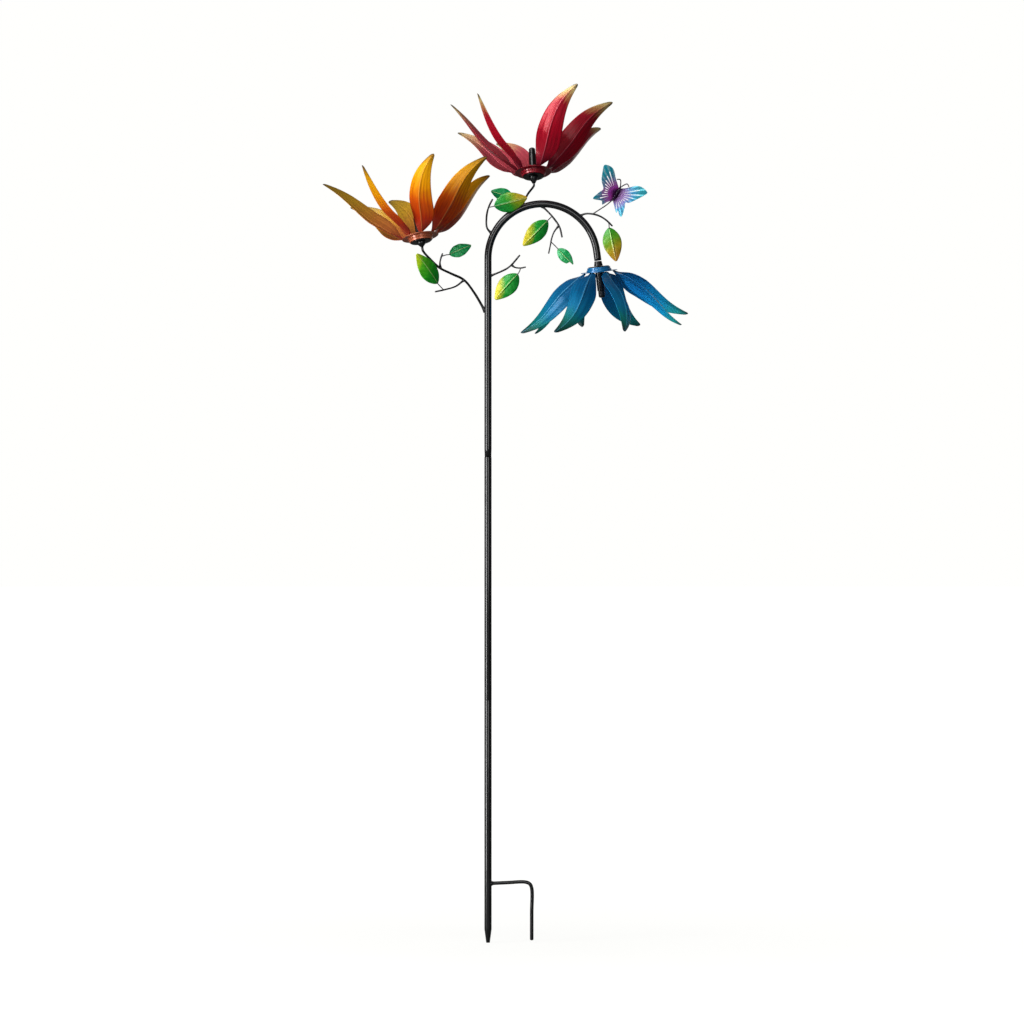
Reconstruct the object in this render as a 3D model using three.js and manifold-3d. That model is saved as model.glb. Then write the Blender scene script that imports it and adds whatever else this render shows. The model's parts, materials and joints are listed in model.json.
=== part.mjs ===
// Triple flower wind spinner on a garden stake.
// Millimetres, +Z up, +X to the right, the front faces -Y.
// The origin is on the pole's axis where it meets the ground.
import * as THREE from "three";
import { mergeVertices } from "three/addons/utils/BufferGeometryUtils.js";
import Module from "manifold-3d";

const wasm = await Module();
wasm.setup();
const deg = THREE.MathUtils.degToRad;
const vec = ([x, y, z]) => new THREE.Vector3(x, y, z);

// ---- Driving dimensions ----

const GAP = 0.3; // between pieces that touch on the real object
const SHEET = 1; // pressed metal of the petals, dishes, leaves and wings

// Pole: 16 mm tube in three push-fit lengths
const POLE_R = 8;
const POLE_SIDES = 12;
const STAKE_TIP_Z = -127;
const STAKE_TIP_R = 4;
const STAKE_TAPER = 30;
const LOWER_JOINT_Z = 411;
const UPPER_JOINT_Z = 950;
const SPIGOT_LENGTH = 40;
const SOCKET_SPARE = 2; // how much deeper a socket is than its spigot is long
const SPIGOT_R = 6.6;
const SOCKET_R = 7.1;
const TUBE_BORE_R = 5.4;

// Crook at the top of the pole
const ARCH_R = 121;
const ARCH_Z = 1391;
const ARCH_SWEEP = 172;
const ARCH_TAIL = 22;
const ARCH_STEPS = 16;
const CROOK_STEPS = 54;

// Step-in fork, bent from round bar
const FORK_R = 4;
const FORK_REACH = 96;
const FORK_BEND = 14;
const FORK_Z = 4;
const FORK_RISE = 3;
const FORK_DEPTH = 122;

// Flower, in its own frame: +Z out of the flower's mouth, Z 0 at the dish's rim
const PETAL_COUNT = 8;
const PETAL_ROOT_R = 35;
const PETAL_TIP_R = 191;
const PETAL_TIP_Z = 133;
const PETAL_HALF_WIDTH = 29;
const PETAL_WIDEST = 0.33; // share of the length at the widest place
const PETAL_ROOT_WIDTH = 0.17; // shares of the widest width
const PETAL_TIP_WIDTH = 0.1;
const PETAL_PITCH = 42;
const PETAL_PITCH_END = 0.2; // share of the length over which the pitch builds up
const PETAL_BOW = 6.5;
const PETAL_FLARE = 9.5;
const PETAL_FLARE_START = 0.38; // share of the length where the tip starts to turn outwards
const PETAL_SWEEP = 24;
const PETAL_ROOT_SET = 8; // how far a root is set off to the side of its petal's line
const PETAL_CUP = 0.36;
const DISH_R = 41;
const BOSS_R = 28;
const BOSS_FOOT_R = 25.5;
const BOSS_DEPTH = 11;
const FLANGE_R = 23;
const FLANGE_Z = -12.6;
const TUBE_R = 8.5;
const TUBE_TOP_Z = 42;
const BORE_R = 3.4;
const CAP_R = 7.2;
const CAP_TOP_Z = 57;
const CAP_BEVEL = 1.5;
const NUT_ROOM_R = 5.6;
const NUT_ROOM_TOP_Z = 54;
const PIN_R = 3;
const STANDING_PIN_TOP_Z = 44;
const HANGING_PIN_TOP_Z = 50;
const COLLAR_R = 10;
const COLLAR_TOP_Z = -13.2;
const COLLAR_LIP = 4; // height of the collar's steep upper part
const BALL_R = 2.8;
const WASHER_R = 5.2;
const NUT_R = 4.6;
const NUT_HEIGHT = 4;
const LATHE_SIDES = 20;

// Flowers: where the dish's centre is and how the mouth points.
// left and back are the mouth's tilt in degrees, and turn is the first petal's place.
// Petals are bent by hand: shift is each one's turn from its even place in degrees,
// and lift is how much higher its tip stands. collar is the length of the spindle's collar.
const RED = {
  at: [100.4, 50, 1586],
  left: 3,
  back: 19,
  turn: 21,
  shift: [-6, -10, 16, 1, 10, 0, 0, -10],
  lift: [3, 5, -3, 7, 11, 12, 0, 6],
  collar: 15,
  colour: 0xa3152a,
};
const ORANGE = {
  at: [-149, -80, 1435.5],
  left: 10.5,
  back: 12.5,
  turn: 27,
  shift: [-4, -1, 3, 14, 15, 1, 0, -5],
  lift: [-3, -5, 3, 21, -3, 10, 0, -5],
  collar: 11,
  colour: 0xd9640f,
};
const BLUE = {
  at: [246.6, 1.5, 1360.7],
  left: 6.5,
  back: 3.6,
  turn: 13,
  shift: [-3, -5, -2, 2, -1, 7, 1, -3],
  lift: [-20, -17, -3, 0, -18, 0, -12, -11],
  collar: 11,
  hangs: true,
  colour: 0x1278b4,
};

// The direction of a flower's mouth.
function mouth({ left, back, hangs }) {
  const turn = new THREE.Euler(-deg(back), deg(hangs ? 180 - left : -left), 0, "YXZ");
  return new THREE.Vector3(0, 0, 1).applyEuler(turn);
}

// The point on a flower's axis that lies drop below its collar's foot.
function belowCollar(spec, drop) {
  return vec(spec.at).addScaledVector(mouth(spec), COLLAR_TOP_Z - spec.collar - drop).toArray();
}

// Bent rods, as control points along each rod
const TWIGS = {
  orange_branch: [
    { r: 2.7, steps: 18, path: [[-6, 0, 1273], [-31, -10, 1315], [-53, -20, 1342], [-82, -33, 1356],
      [-107, -47, 1368], [-130, -66, 1389], belowCollar(ORANGE, 8), belowCollar(ORANGE, 0.5)] },
    { r: 2, steps: 6, path: [[-53, -20, 1342], [-71, -28, 1328], [-95, -42, 1320], [-116, -50, 1315]] },
    { r: 2, steps: 6, path: [[-105, -46, 1367], [-106, -46, 1379], [-104, -46, 1389],
      [-100.5, -46, 1399]] },
  ],
  red_stem: [
    { r: 2.4, steps: 9, path: [[74, -2, 1506], [80.5, 9, 1519], [89, 27, 1536],
      belowCollar(RED, 5), belowCollar(RED, 0.5)] },
  ],
  left_twig: [
    { r: 2.2, steps: 9, path: [[8, 0, 1446], [-2, -3, 1458], [-3.5, -5, 1478], [-1, -7, 1496],
      [4.5, -9, 1511], [10, -10, 1521]] },
  ],
  right_twig: [
    { r: 2.2, steps: 9, path: [[5, 0, 1352], [18, -3, 1357], [31, -6, 1362.5], [42, -8, 1368],
      [52, -9, 1376], [70, -10, 1397]] },
    { r: 1.8, steps: 4, path: [[52, -9, 1376], [60, -10, 1370.5], [72, -11, 1369], [83, -12, 1371]] },
  ],
  arch_inner_twig: [
    { r: 2.2, steps: 9, path: [[120, 0, 1506], [128, -3, 1499], [142, -6, 1484], [156, -8, 1465],
      [160, -9, 1456], [164, -10, 1438]] },
    { r: 1.8, steps: 6, path: [[157, -8, 1463], [146.5, -8, 1449], [141, -8, 1434], [138.5, -8, 1421],
      [134.5, -8, 1402]] },
  ],
  arch_right_twig: [
    { r: 2.2, steps: 9, path: [[204, 0, 1485], [215, -2, 1489.5], [232, -6, 1489], [248, -9, 1484],
      [262, -12, 1475], [275, -14, 1462.5]] },
  ],
};

const LEAF_GREEN = 0x4f9a25;
const LEAF_EMERALD = 0x0f8a48;
const LEAF_OLIVE = 0xa08a18;

// Leaves: base and tip of the blade, its width, and the wire that joins it to a twig.
// tilt turns the blade about its own length, in degrees.
const LEAVES = {
  leaf_orange_large: { on: "orange_branch", base: [-111, -58, 1333], tip: [-157, -93, 1397],
    width: 40, tilt: 12, wire: [[-98.5, -43.5, 1320], [-105, -50, 1326.5]], colour: LEAF_GREEN },
  leaf_orange_small: { on: "orange_branch", base: [-85, -42, 1397.5], tip: [-37, -34, 1418.5],
    width: 29, tilt: -15, wire: [[-102.5, -46.5, 1393], [-93, -44, 1396.5]], colour: LEAF_EMERALD },
  leaf_left_large: { on: "left_twig", base: [14, -13, 1506], tip: [87, -22, 1524.5],
    width: 43, tilt: 8, wire: [[1.5, -8.5, 1503.5], [7, -11, 1504.5]], colour: LEAF_GREEN },
  leaf_red_small: { on: "red_stem", base: [55, 5, 1525.5], tip: [6.5, 2, 1540.5],
    width: 29, tilt: -10, wire: [[80.5, 9, 1520], [67, 7, 1521.5]], colour: LEAF_EMERALD },
  leaf_right_large: { on: "right_twig", base: [66, -14, 1355.5], tip: [15.5, -22, 1298.5],
    width: 42, tilt: 5, wire: [[72, -11, 1369], [70, -12, 1362]], colour: LEAF_GREEN },
  leaf_arch_large: { on: "arch_inner_twig", base: [132, -12, 1474], tip: [77.5, -20, 1418],
    width: 39, tilt: -5, wire: [[142, -6, 1484], [137, -9, 1479]], colour: LEAF_GREEN },
  leaf_arch_small: { on: "arch_inner_twig", base: [155, -11, 1411.5], tip: [188.5, -18, 1376],
    width: 26, tilt: 10, wire: [[139.5, -8, 1427], [148, -9, 1419]], colour: LEAF_EMERALD },
  leaf_outer_large: { on: "arch_right_twig", base: [268.5, -17, 1458], tip: [284, -26, 1383],
    width: 41, tilt: 0, wire: [[266, -12.5, 1472], [268, -15, 1465]], colour: LEAF_OLIVE },
};
const LEAF_WIRE_R = 1.1;
const LEAF_FOLD = 0.28; // how far the edges fall back, as a share of the half width
const LEAF_ARCH = 0.07; // how far the middle stands forward, as a share of the length

// Butterfly: outlines in the XZ plane from the body's middle, and each side's fold towards -Y
const BUTTERFLY_AT = [284, -20, 1532.5];
const BUTTERFLY_LEAN = 32; // the body's lean to the right, in degrees
const WING_FOLD = { left: 1.15, right: 0.6 };
const LEFT_WING = [[6, 8], [-1, 32], [-6, 51], [-14, 59], [-27, 61], [-31, 46], [-33, 28], [-29, 10],
  [-38, 2], [-52, -12], [-33, -16], [-31, -24], [-20, -18], [-4, -11]];
const RIGHT_WING = [[3, 10], [22, 12.5], [45, 17], [58, 13], [68, 3], [65, -2], [47, -12], [29, -20],
  [20, -20], [18, -32], [12, -50], [7, -48], [3.5, -37], [0, -42], [-4, -28], [-7, -9]];
const LEFT_SLOTS = { from: 108, to: 196, inner: 19, outer: [50, 43, 37, 32, 28, 26, 27, 32, 38] };
const RIGHT_SLOTS = { from: 8, to: -90, inner: 17, outer: [52, 52, 39, 31, 24, 21, 23, 30, 33] };
const BODY_LENGTH = 38;
const BODY_R = 3;
const BODY_FORWARD = 6.5;
const SPINE_R = 1.2;
const FEELER_R = 0.8;
const BUTTERFLY_WIRE = [[232, -6, 1489], [248, -13, 1499], [262, -20, 1508]];
const WING_BLUE = 0x2a9fc4;

// ---- Shared shape tools ----

// The geometry as a manifold-3d solid that faces out.
function solidOf(geometry) {
  const bare = geometry.clone();
  bare.deleteAttribute("normal");
  bare.deleteAttribute("uv");
  const merged = mergeVertices(bare, 1e-4);
  const triVerts = new Uint32Array(merged.index.array);
  const vertProperties = new Float32Array(merged.attributes.position.array);
  const make = () => new wasm.Manifold(new wasm.Mesh({ numProp: 3, vertProperties, triVerts }));
  const made = make();
  if (made.volume() > 0) return made;
  for (let i = 0; i < triVerts.length; i += 3) {
    [triVerts[i + 1], triVerts[i + 2]] = [triVerts[i + 2], triVerts[i + 1]];
  }
  return make();
}

function geometryOf(solid) {
  const mesh = solid.getMesh();
  const positions = new Float32Array(mesh.numVert * 3);
  for (let i = 0; i < mesh.numVert; i++) {
    positions.set(mesh.vertProperties.subarray(i * mesh.numProp, i * mesh.numProp + 3), i * 3);
  }
  const geometry = new THREE.BufferGeometry();
  geometry.setAttribute("position", new THREE.BufferAttribute(positions, 3));
  geometry.setIndex(new THREE.BufferAttribute(mesh.triVerts, 1));
  geometry.computeVertexNormals();
  return geometry;
}

function piece(name, solid, colour, finish) {
  const material = new THREE.MeshStandardMaterial({ color: colour, ...finish });
  const mesh = new THREE.Mesh(geometryOf(solid), material);
  mesh.name = name;
  return mesh;
}

const BLACK_PAINT = { roughness: 0.35, metalness: 0.2 };
const CANDY_PAINT = { roughness: 0.25, metalness: 0.6 };
const BARE_STEEL = { roughness: 0.2, metalness: 1 };
const BLACK = 0x141416;
const STEEL = 0xb8bcc0;

function polygonShape(radius, sides) {
  const corners = [];
  for (let i = 0; i < sides; i++) {
    const angle = (2 * Math.PI * i) / sides;
    corners.push(new THREE.Vector2(radius * Math.cos(angle), radius * Math.sin(angle)));
  }
  return new THREE.Shape(corners);
}

// A round bar along a smooth curve through the points.
function bar(points, radius, steps, sides = 8) {
  const extrudePath = new THREE.CatmullRomCurve3(points.map(vec));
  const settings = { steps, bevelEnabled: false, extrudePath };
  return solidOf(new THREE.ExtrudeGeometry(polygonShape(radius, sides), settings));
}

// A turned piece about Z, from [radius, z] points.
function turned(profile, sides = LATHE_SIDES) {
  const points = profile.map(([r, z]) => new THREE.Vector2(r, z));
  return solidOf(new THREE.LatheGeometry(points, sides).rotateX(Math.PI / 2));
}

// A sheet of even thickness over the surface point(u, v), with u and v from 0 to 1.
function sheet(point, uSteps, vSteps, thickness) {
  const positions = [];
  const small = 1e-3;
  for (const side of [0.5, -0.5]) {
    for (let i = 0; i <= uSteps; i++) {
      for (let j = 0; j <= vSteps; j++) {
        const u = i / uSteps;
        const v = j / vSteps;
        const du = point(Math.min(u + small, 1), v).sub(point(Math.max(u - small, 0), v));
        const dv = point(u, Math.min(v + small, 1)).sub(point(u, Math.max(v - small, 0)));
        const normal = du.cross(dv).normalize();
        positions.push(...point(u, v).addScaledVector(normal, side * thickness));
      }
    }
  }
  const row = vSteps + 1;
  const back = (uSteps + 1) * row;
  const faces = [];
  const quad = (a, b, c, d) => faces.push(a, b, c, a, c, d);
  for (let i = 0; i < uSteps; i++) {
    for (let j = 0; j < vSteps; j++) {
      const k = i * row + j;
      quad(k, k + row, k + row + 1, k + 1);
      quad(back + k, back + k + 1, back + k + row + 1, back + k + row);
    }
  }
  for (let i = 0; i < uSteps; i++) {
    const first = i * row;
    const last = first + vSteps;
    quad(first, back + first, back + first + row, first + row);
    quad(last, last + row, back + last + row, back + last);
  }
  for (let j = 0; j < vSteps; j++) {
    const end = uSteps * row + j;
    quad(j, j + 1, back + j + 1, back + j);
    quad(end, back + end, back + end + 1, end + 1);
  }
  const geometry = new THREE.BufferGeometry();
  geometry.setAttribute("position", new THREE.Float32BufferAttribute(positions, 3));
  geometry.setIndex(faces);
  return solidOf(geometry);
}

// ---- Pole ----

function lowerStake() {
  return turned([
    [0, STAKE_TIP_Z],
    [STAKE_TIP_R, STAKE_TIP_Z],
    [POLE_R, STAKE_TIP_Z + STAKE_TAPER],
    [POLE_R, LOWER_JOINT_Z],
    [SPIGOT_R, LOWER_JOINT_Z],
    [SPIGOT_R, LOWER_JOINT_Z + SPIGOT_LENGTH],
    [0, LOWER_JOINT_Z + SPIGOT_LENGTH],
  ], POLE_SIDES);
}

function middleTube() {
  const foot = LOWER_JOINT_Z + GAP;
  const socketEnd = LOWER_JOINT_Z + SPIGOT_LENGTH + SOCKET_SPARE;
  const spigotEnd = UPPER_JOINT_Z + SPIGOT_LENGTH;
  return turned([
    [SOCKET_R, foot],
    [POLE_R, foot],
    [POLE_R, UPPER_JOINT_Z],
    [SPIGOT_R, UPPER_JOINT_Z],
    [SPIGOT_R, spigotEnd],
    [TUBE_BORE_R, spigotEnd],
    [TUBE_BORE_R, socketEnd],
    [SOCKET_R, socketEnd],
    [SOCKET_R, foot],
  ], POLE_SIDES);
}

// The crook's bar with its radius grown by grow, from the upper joint to the end of its tail.
function crookBar(grow) {
  const foot = UPPER_JOINT_Z + GAP;
  const path = [];
  for (let z = foot; z < ARCH_Z - 3 * POLE_R; z += 8 * POLE_R) path.push([0, 0, z]);
  for (let angle = 0; angle <= ARCH_SWEEP; angle += ARCH_SWEEP / ARCH_STEPS) {
    const turn = deg(180 - angle);
    path.push([ARCH_R * (1 + Math.cos(turn)), 0, ARCH_Z + ARCH_R * Math.sin(turn)]);
  }
  const [x, y, z] = path[path.length - 1];
  const tail = deg(180 - ARCH_SWEEP);
  path.push([x + ARCH_TAIL * Math.sin(tail), y, z - ARCH_TAIL * Math.cos(tail)]);
  return bar(path, POLE_R + grow, CROOK_STEPS, POLE_SIDES);
}

function crook() {
  const below = UPPER_JOINT_Z - SOCKET_SPARE;
  const end = UPPER_JOINT_Z + SPIGOT_LENGTH + SOCKET_SPARE;
  const socket = turned([[0, below], [SOCKET_R, below], [SOCKET_R, end], [0, end]], POLE_SIDES);
  return crookBar(0).subtract(socket);
}

// The room that the lower stake takes up, for cutting what is welded to it.
function poleClearance() {
  const bottom = STAKE_TIP_Z;
  const top = UPPER_JOINT_Z + 1;
  const radius = POLE_R + GAP;
  return turned([[0, bottom], [radius, bottom], [radius, top], [0, top]], POLE_SIDES);
}

function fork() {
  const shoulderZ = FORK_Z + FORK_RISE;
  const path = [
    [POLE_R / 2, 0, FORK_Z],
    [FORK_REACH * 0.45, 0, FORK_Z + FORK_RISE * 0.6],
    [FORK_REACH - FORK_BEND, 0, shoulderZ],
    [FORK_REACH - FORK_BEND * 0.3, 0, shoulderZ - FORK_BEND * 0.3],
    [FORK_REACH, 0, shoulderZ - FORK_BEND],
    [FORK_REACH, 0, -FORK_DEPTH * 0.5],
    [FORK_REACH, 0, -FORK_DEPTH],
  ];
  return bar(path, FORK_R, 26, 8).subtract(poleClearance());
}

// ---- Twigs and leaves ----

function twigSolid(name, grow) {
  return wasm.Manifold.union(TWIGS[name].map(({ r, steps, path }) => bar(path, r + grow, steps, 6)));
}

// A leaf blade: a pointed oval, folded along its midrib and curved along its length.
function leafBlade({ base, tip, width, tilt }) {
  const start = vec(base);
  const along = vec(tip).sub(start);
  const length = along.length();
  along.normalize();
  const across = new THREE.Vector3(0, -1, 0).cross(along).normalize();
  across.applyAxisAngle(along, deg(tilt));
  const front = new THREE.Vector3().crossVectors(along, across);
  const halfWidth = (t) => (width / 2) * (0.06 + 0.94 * Math.sin(Math.PI * t ** 0.82) ** 0.85);
  const point = (u, v) => {
    const t = 0.01 + 0.975 * u;
    const q = 2 * v - 1;
    const fold = LEAF_FOLD * Math.abs(q) * halfWidth(t);
    const arch = LEAF_ARCH * length * Math.sin(Math.PI * t);
    return start.clone()
      .addScaledVector(along, t * length)
      .addScaledVector(across, q * halfWidth(t))
      .addScaledVector(front, arch - fold);
  };
  return sheet(point, 8, 4, SHEET);
}

function leaf(spec) {
  const wirePath = [...spec.wire, spec.base, vec(spec.base).lerp(vec(spec.tip), 0.12).toArray()];
  const wire = bar(wirePath, LEAF_WIRE_R, 7, 6);
  return wasm.Manifold.union([leafBlade(spec), wire]).subtract(twigSolid(spec.on, GAP));
}

// ---- Butterfly ----

const bodyAxis = new THREE.Vector2(Math.sin(deg(BUTTERFLY_LEAN)), Math.cos(deg(BUTTERFLY_LEAN)));

// A radial slot through a wing, between two distances from the body's middle, wider at its outer end.
function slotCutter(angle, inner, outer) {
  const ray = new THREE.Vector2(Math.cos(deg(angle)), Math.sin(deg(angle)));
  const side = new THREE.Vector2(-ray.y, ray.x);
  const corner = (distance, half) => ray.clone().multiplyScalar(distance).addScaledVector(side, half);
  const corners = [corner(inner, -0.4), corner(outer, -1), corner(outer, 1), corner(inner, 0.4)];
  const shape = new THREE.Shape(corners);
  const cutter = new THREE.ExtrudeGeometry(shape, { depth: SHEET + 2, bevelEnabled: false });
  return solidOf(cutter.translate(0, 0, -1));
}

// One side's pair of wings: a slotted plate, folded forward along the body's line.
// side is 1 on the left and -1 on the right.
function wingPlate(outline, slots, fold, side) {
  const rim = new THREE.SplineCurve([...outline, outline[0]].map(([x, z]) => new THREE.Vector2(x, z)));
  const shape = new THREE.Shape(rim.getPoints(outline.length * 2).slice(0, -1));
  const plate = solidOf(new THREE.ExtrudeGeometry(shape, { depth: SHEET, bevelEnabled: false }));
  const cutters = slots.outer.map((outer, i) => {
    const share = i / (slots.outer.length - 1);
    return slotCutter(THREE.MathUtils.lerp(slots.from, slots.to, share), slots.inner, outer);
  });
  const inward = bodyAxis.clone().rotateAround(new THREE.Vector2(), side * Math.PI / 2);
  const cut = plate.subtract(wasm.Manifold.union(cutters)).trimByPlane([inward.x, inward.y, 0], 0);
  return cut.warp((point) => {
    const [x, z, depth] = point;
    const distance = x * inward.x + z * inward.y;
    point[0] = BUTTERFLY_AT[0] + x;
    point[1] = BUTTERFLY_AT[1] - depth - fold * distance;
    point[2] = BUTTERFLY_AT[2] + z;
  });
}

function butterflyWings() {
  const left = wingPlate(LEFT_WING, LEFT_SLOTS, WING_FOLD.left, 1);
  const right = wingPlate(RIGHT_WING, RIGHT_SLOTS, WING_FOLD.right, -1);
  const spine = bar([onButterfly(-13, 0, SHEET / 2), onButterfly(9, 0, SHEET / 2)], SPINE_R, 2, 8);
  return wasm.Manifold.union([left, right, spine]);
}

// A point on the butterfly, along the body and across it to the right.
function onButterfly(along, right, forward) {
  return [
    BUTTERFLY_AT[0] + along * bodyAxis.x + right * bodyAxis.y,
    BUTTERFLY_AT[1] - forward,
    BUTTERFLY_AT[2] + along * bodyAxis.y - right * bodyAxis.x,
  ];
}

function butterflyBody() {
  const length = BODY_LENGTH;
  const profile = [[0, -length / 2], [1.6, -length / 2 + 1], [BODY_R * 0.8, -4], [BODY_R, 3],
    [BODY_R * 0.7, 8], [BODY_R * 0.8, 12], [BODY_R * 0.5, length / 2 - 1], [0, length / 2]];
  const turn = new THREE.Matrix4().makeRotationY(deg(BUTTERFLY_LEAN));
  turn.setPosition(vec(onButterfly(0, 0, BODY_FORWARD)));
  const trunk = solidOf(geometryOf(turned(profile, 12)).applyMatrix4(turn));
  const feelers = [-1, 1].map((side) => bar([
    onButterfly(length / 2 - 3, 0, BODY_FORWARD),
    onButterfly(length / 2 + 6, 4 * side, BODY_FORWARD + 2),
    onButterfly(length / 2 + 12, 9 * side, BODY_FORWARD + 5),
    onButterfly(length / 2 + 9, 15 * side, BODY_FORWARD + 9),
  ], FEELER_R, 6, 6));
  const wirePath = [...BUTTERFLY_WIRE, onButterfly(-length / 2 + 3, 0, BODY_FORWARD)];
  const wire = bar(wirePath, LEAF_WIRE_R, 8, 6);
  return wasm.Manifold.union([trunk, ...feelers, wire]).subtract(twigSolid("arch_right_twig", GAP));
}

// ---- Flowers ----

// Half the width of a petal along its length, as a share of its greatest half width.
function petalWidth(t) {
  if (t < PETAL_WIDEST) {
    const rise = Math.sin((Math.PI / 2) * (t / PETAL_WIDEST));
    return PETAL_ROOT_WIDTH + (1 - PETAL_ROOT_WIDTH) * rise;
  }
  const fall = ((t - PETAL_WIDEST) / (1 - PETAL_WIDEST)) ** 1.6;
  return PETAL_TIP_WIDTH + (1 - PETAL_TIP_WIDTH) * (1 - fall);
}

// The petal's middle surface. t runs from root to tip and q from edge to edge, -1 to 1.
// It leaves the dish flat, turns to its pitch, bows out and sweeps sideways.
// Both edges are cupped inwards, and the tip turns outwards.
function petalPoint(t, q, lift) {
  const run = PETAL_TIP_R - PETAL_ROOT_R;
  const rise = PETAL_TIP_Z + lift;
  const length = Math.hypot(run, rise);
  const outward = [rise / length, -run / length];
  const pitch = deg(PETAL_PITCH) * Math.sin((Math.PI / 2) * Math.min(t / PETAL_PITCH_END, 1));
  const tipShare = Math.max((t - PETAL_FLARE_START) / (1 - PETAL_FLARE_START), 0) ** 1.3;
  const bow = PETAL_BOW * Math.sin(Math.PI * t ** 0.7) - PETAL_FLARE * Math.sin(Math.PI * tipShare);
  const sweep = PETAL_SWEEP * Math.sin(Math.PI * t ** 1.6) + PETAL_ROOT_SET * (1 - t) ** 3;
  const halfWidth = PETAL_HALF_WIDTH * petalWidth(t);
  const normal = bow - PETAL_CUP * halfWidth * Math.abs(q) ** 1.5;
  const lateral = q * halfWidth;
  const radial = Math.cos(pitch) * normal - Math.sin(pitch) * lateral;
  const sideways = Math.sin(pitch) * normal + Math.cos(pitch) * lateral;
  return new THREE.Vector3(
    PETAL_ROOT_R + t * run + radial * outward[0],
    -(sweep + sideways),
    t * rise + radial * outward[1],
  );
}

function petal(lift) {
  const point = (u, v) => petalPoint(u, 2 * v - 1, lift);
  return sheet(point, 11, 4, SHEET).translate([0, 0, SHEET / 2]);
}

// The pressed dish: a flat rim that the petals are welded to, round a raised boss.
function dish() {
  const footZ = -BOSS_DEPTH;
  const holeR = TUBE_R + GAP;
  return turned([
    [BOSS_R - 1, -GAP],
    [BOSS_FOOT_R - 1, footZ + SHEET],
    [holeR, footZ + SHEET],
    [holeR, footZ],
    [BOSS_FOOT_R, footZ],
    [BOSS_R, -GAP - SHEET],
    [DISH_R, -GAP - SHEET],
    [DISH_R, -GAP],
    [BOSS_R - 1, -GAP],
  ]);
}

// The bearing tube with its welded foot flange, open right through.
function bearingTube() {
  const flangeTop = -BOSS_DEPTH - GAP;
  return turned([
    [BORE_R, FLANGE_Z],
    [FLANGE_R, FLANGE_Z],
    [FLANGE_R, flangeTop],
    [TUBE_R, flangeTop],
    [TUBE_R, TUBE_TOP_Z],
    [BORE_R, TUBE_TOP_Z],
    [BORE_R, FLANGE_Z],
  ]);
}

// The cap on the tube's end, hollow inside for the ball or for the washer and nut.
function bearingCap(hollowR, hollowTopZ) {
  const foot = TUBE_TOP_Z + GAP;
  return turned([
    [hollowR, foot],
    [CAP_R, foot],
    [CAP_R, CAP_TOP_Z - CAP_BEVEL],
    [CAP_R - CAP_BEVEL, CAP_TOP_Z],
    [0, CAP_TOP_Z],
    [0, hollowTopZ],
    [hollowR, hollowTopZ],
    [hollowR, foot],
  ]);
}

// The fixed pin with its collar, which tapers down to the stem.
function spindle(pinTopZ, collarLength, hangs) {
  const collarFoot = COLLAR_TOP_Z - collarLength;
  const footR = hangs ? POLE_R : PIN_R;
  return turned([
    [0, collarFoot],
    [footR, collarFoot],
    [0.92 * COLLAR_R, COLLAR_TOP_Z - COLLAR_LIP],
    [COLLAR_R, COLLAR_TOP_Z],
    [PIN_R, COLLAR_TOP_Z],
    [PIN_R, pinTopZ],
    [0, pinTopZ],
  ]);
}

function bearingBall(z) {
  return solidOf(new THREE.SphereGeometry(BALL_R, 16, 10).translate(0, 0, z));
}

// A flat ring, round or six-sided outside, that clears the pin.
function pinRing(outerR, outerSides, footZ, thickness) {
  const shape = polygonShape(outerR, outerSides);
  shape.holes.push(new THREE.Path(polygonShape(PIN_R + GAP, 16).getPoints()));
  const settings = { depth: thickness, bevelEnabled: false };
  return solidOf(new THREE.ExtrudeGeometry(shape, settings).translate(0, 0, footZ));
}

// One flower with its bearing.
// A standing flower turns on a ball, and a hanging one is held by a washer and nut.
function flower(name, spec) {
  const group = new THREE.Group();
  const { at, left, back, turn, shift, lift, collar, colour, hangs } = spec;
  group.position.set(...at);
  group.rotation.set(-deg(back), deg(hangs ? 180 - left : -left), 0, "YXZ");
  for (let i = 0; i < PETAL_COUNT; i++) {
    const mesh = piece(`${name}_petal_${i + 1}`, petal(lift[i]), colour, CANDY_PAINT);
    mesh.rotation.z = -deg(turn + (360 * i) / PETAL_COUNT + shift[i]);
    group.add(mesh);
  }
  group.add(piece(`${name}_dish`, dish(), colour, CANDY_PAINT));
  group.add(piece(`${name}_bearing_tube`, bearingTube(), BLACK, BLACK_PAINT));
  const black = (part, solid) => group.add(piece(`${name}_${part}`, solid, BLACK, BLACK_PAINT));
  const bare = (part, solid) => group.add(piece(`${name}_${part}`, solid, STEEL, BARE_STEEL));
  if (hangs) {
    const washerFoot = TUBE_TOP_Z + GAP;
    const nutFoot = washerFoot + SHEET + GAP;
    black("bearing_cap", bearingCap(NUT_ROOM_R, NUT_ROOM_TOP_Z));
    black("spindle", spindle(HANGING_PIN_TOP_Z, collar, true));
    bare("washer", pinRing(WASHER_R, 16, washerFoot, SHEET));
    bare("nut", pinRing(NUT_R, 6, nutFoot, NUT_HEIGHT));
  } else {
    const ballZ = STANDING_PIN_TOP_Z + GAP + BALL_R;
    black("bearing_cap", bearingCap(BORE_R, ballZ + BALL_R + GAP));
    black("spindle", spindle(STANDING_PIN_TOP_Z, collar, false));
    bare("bearing_ball", bearingBall(ballZ));
  }
  return group;
}

// ---- The whole spinner ----

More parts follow.
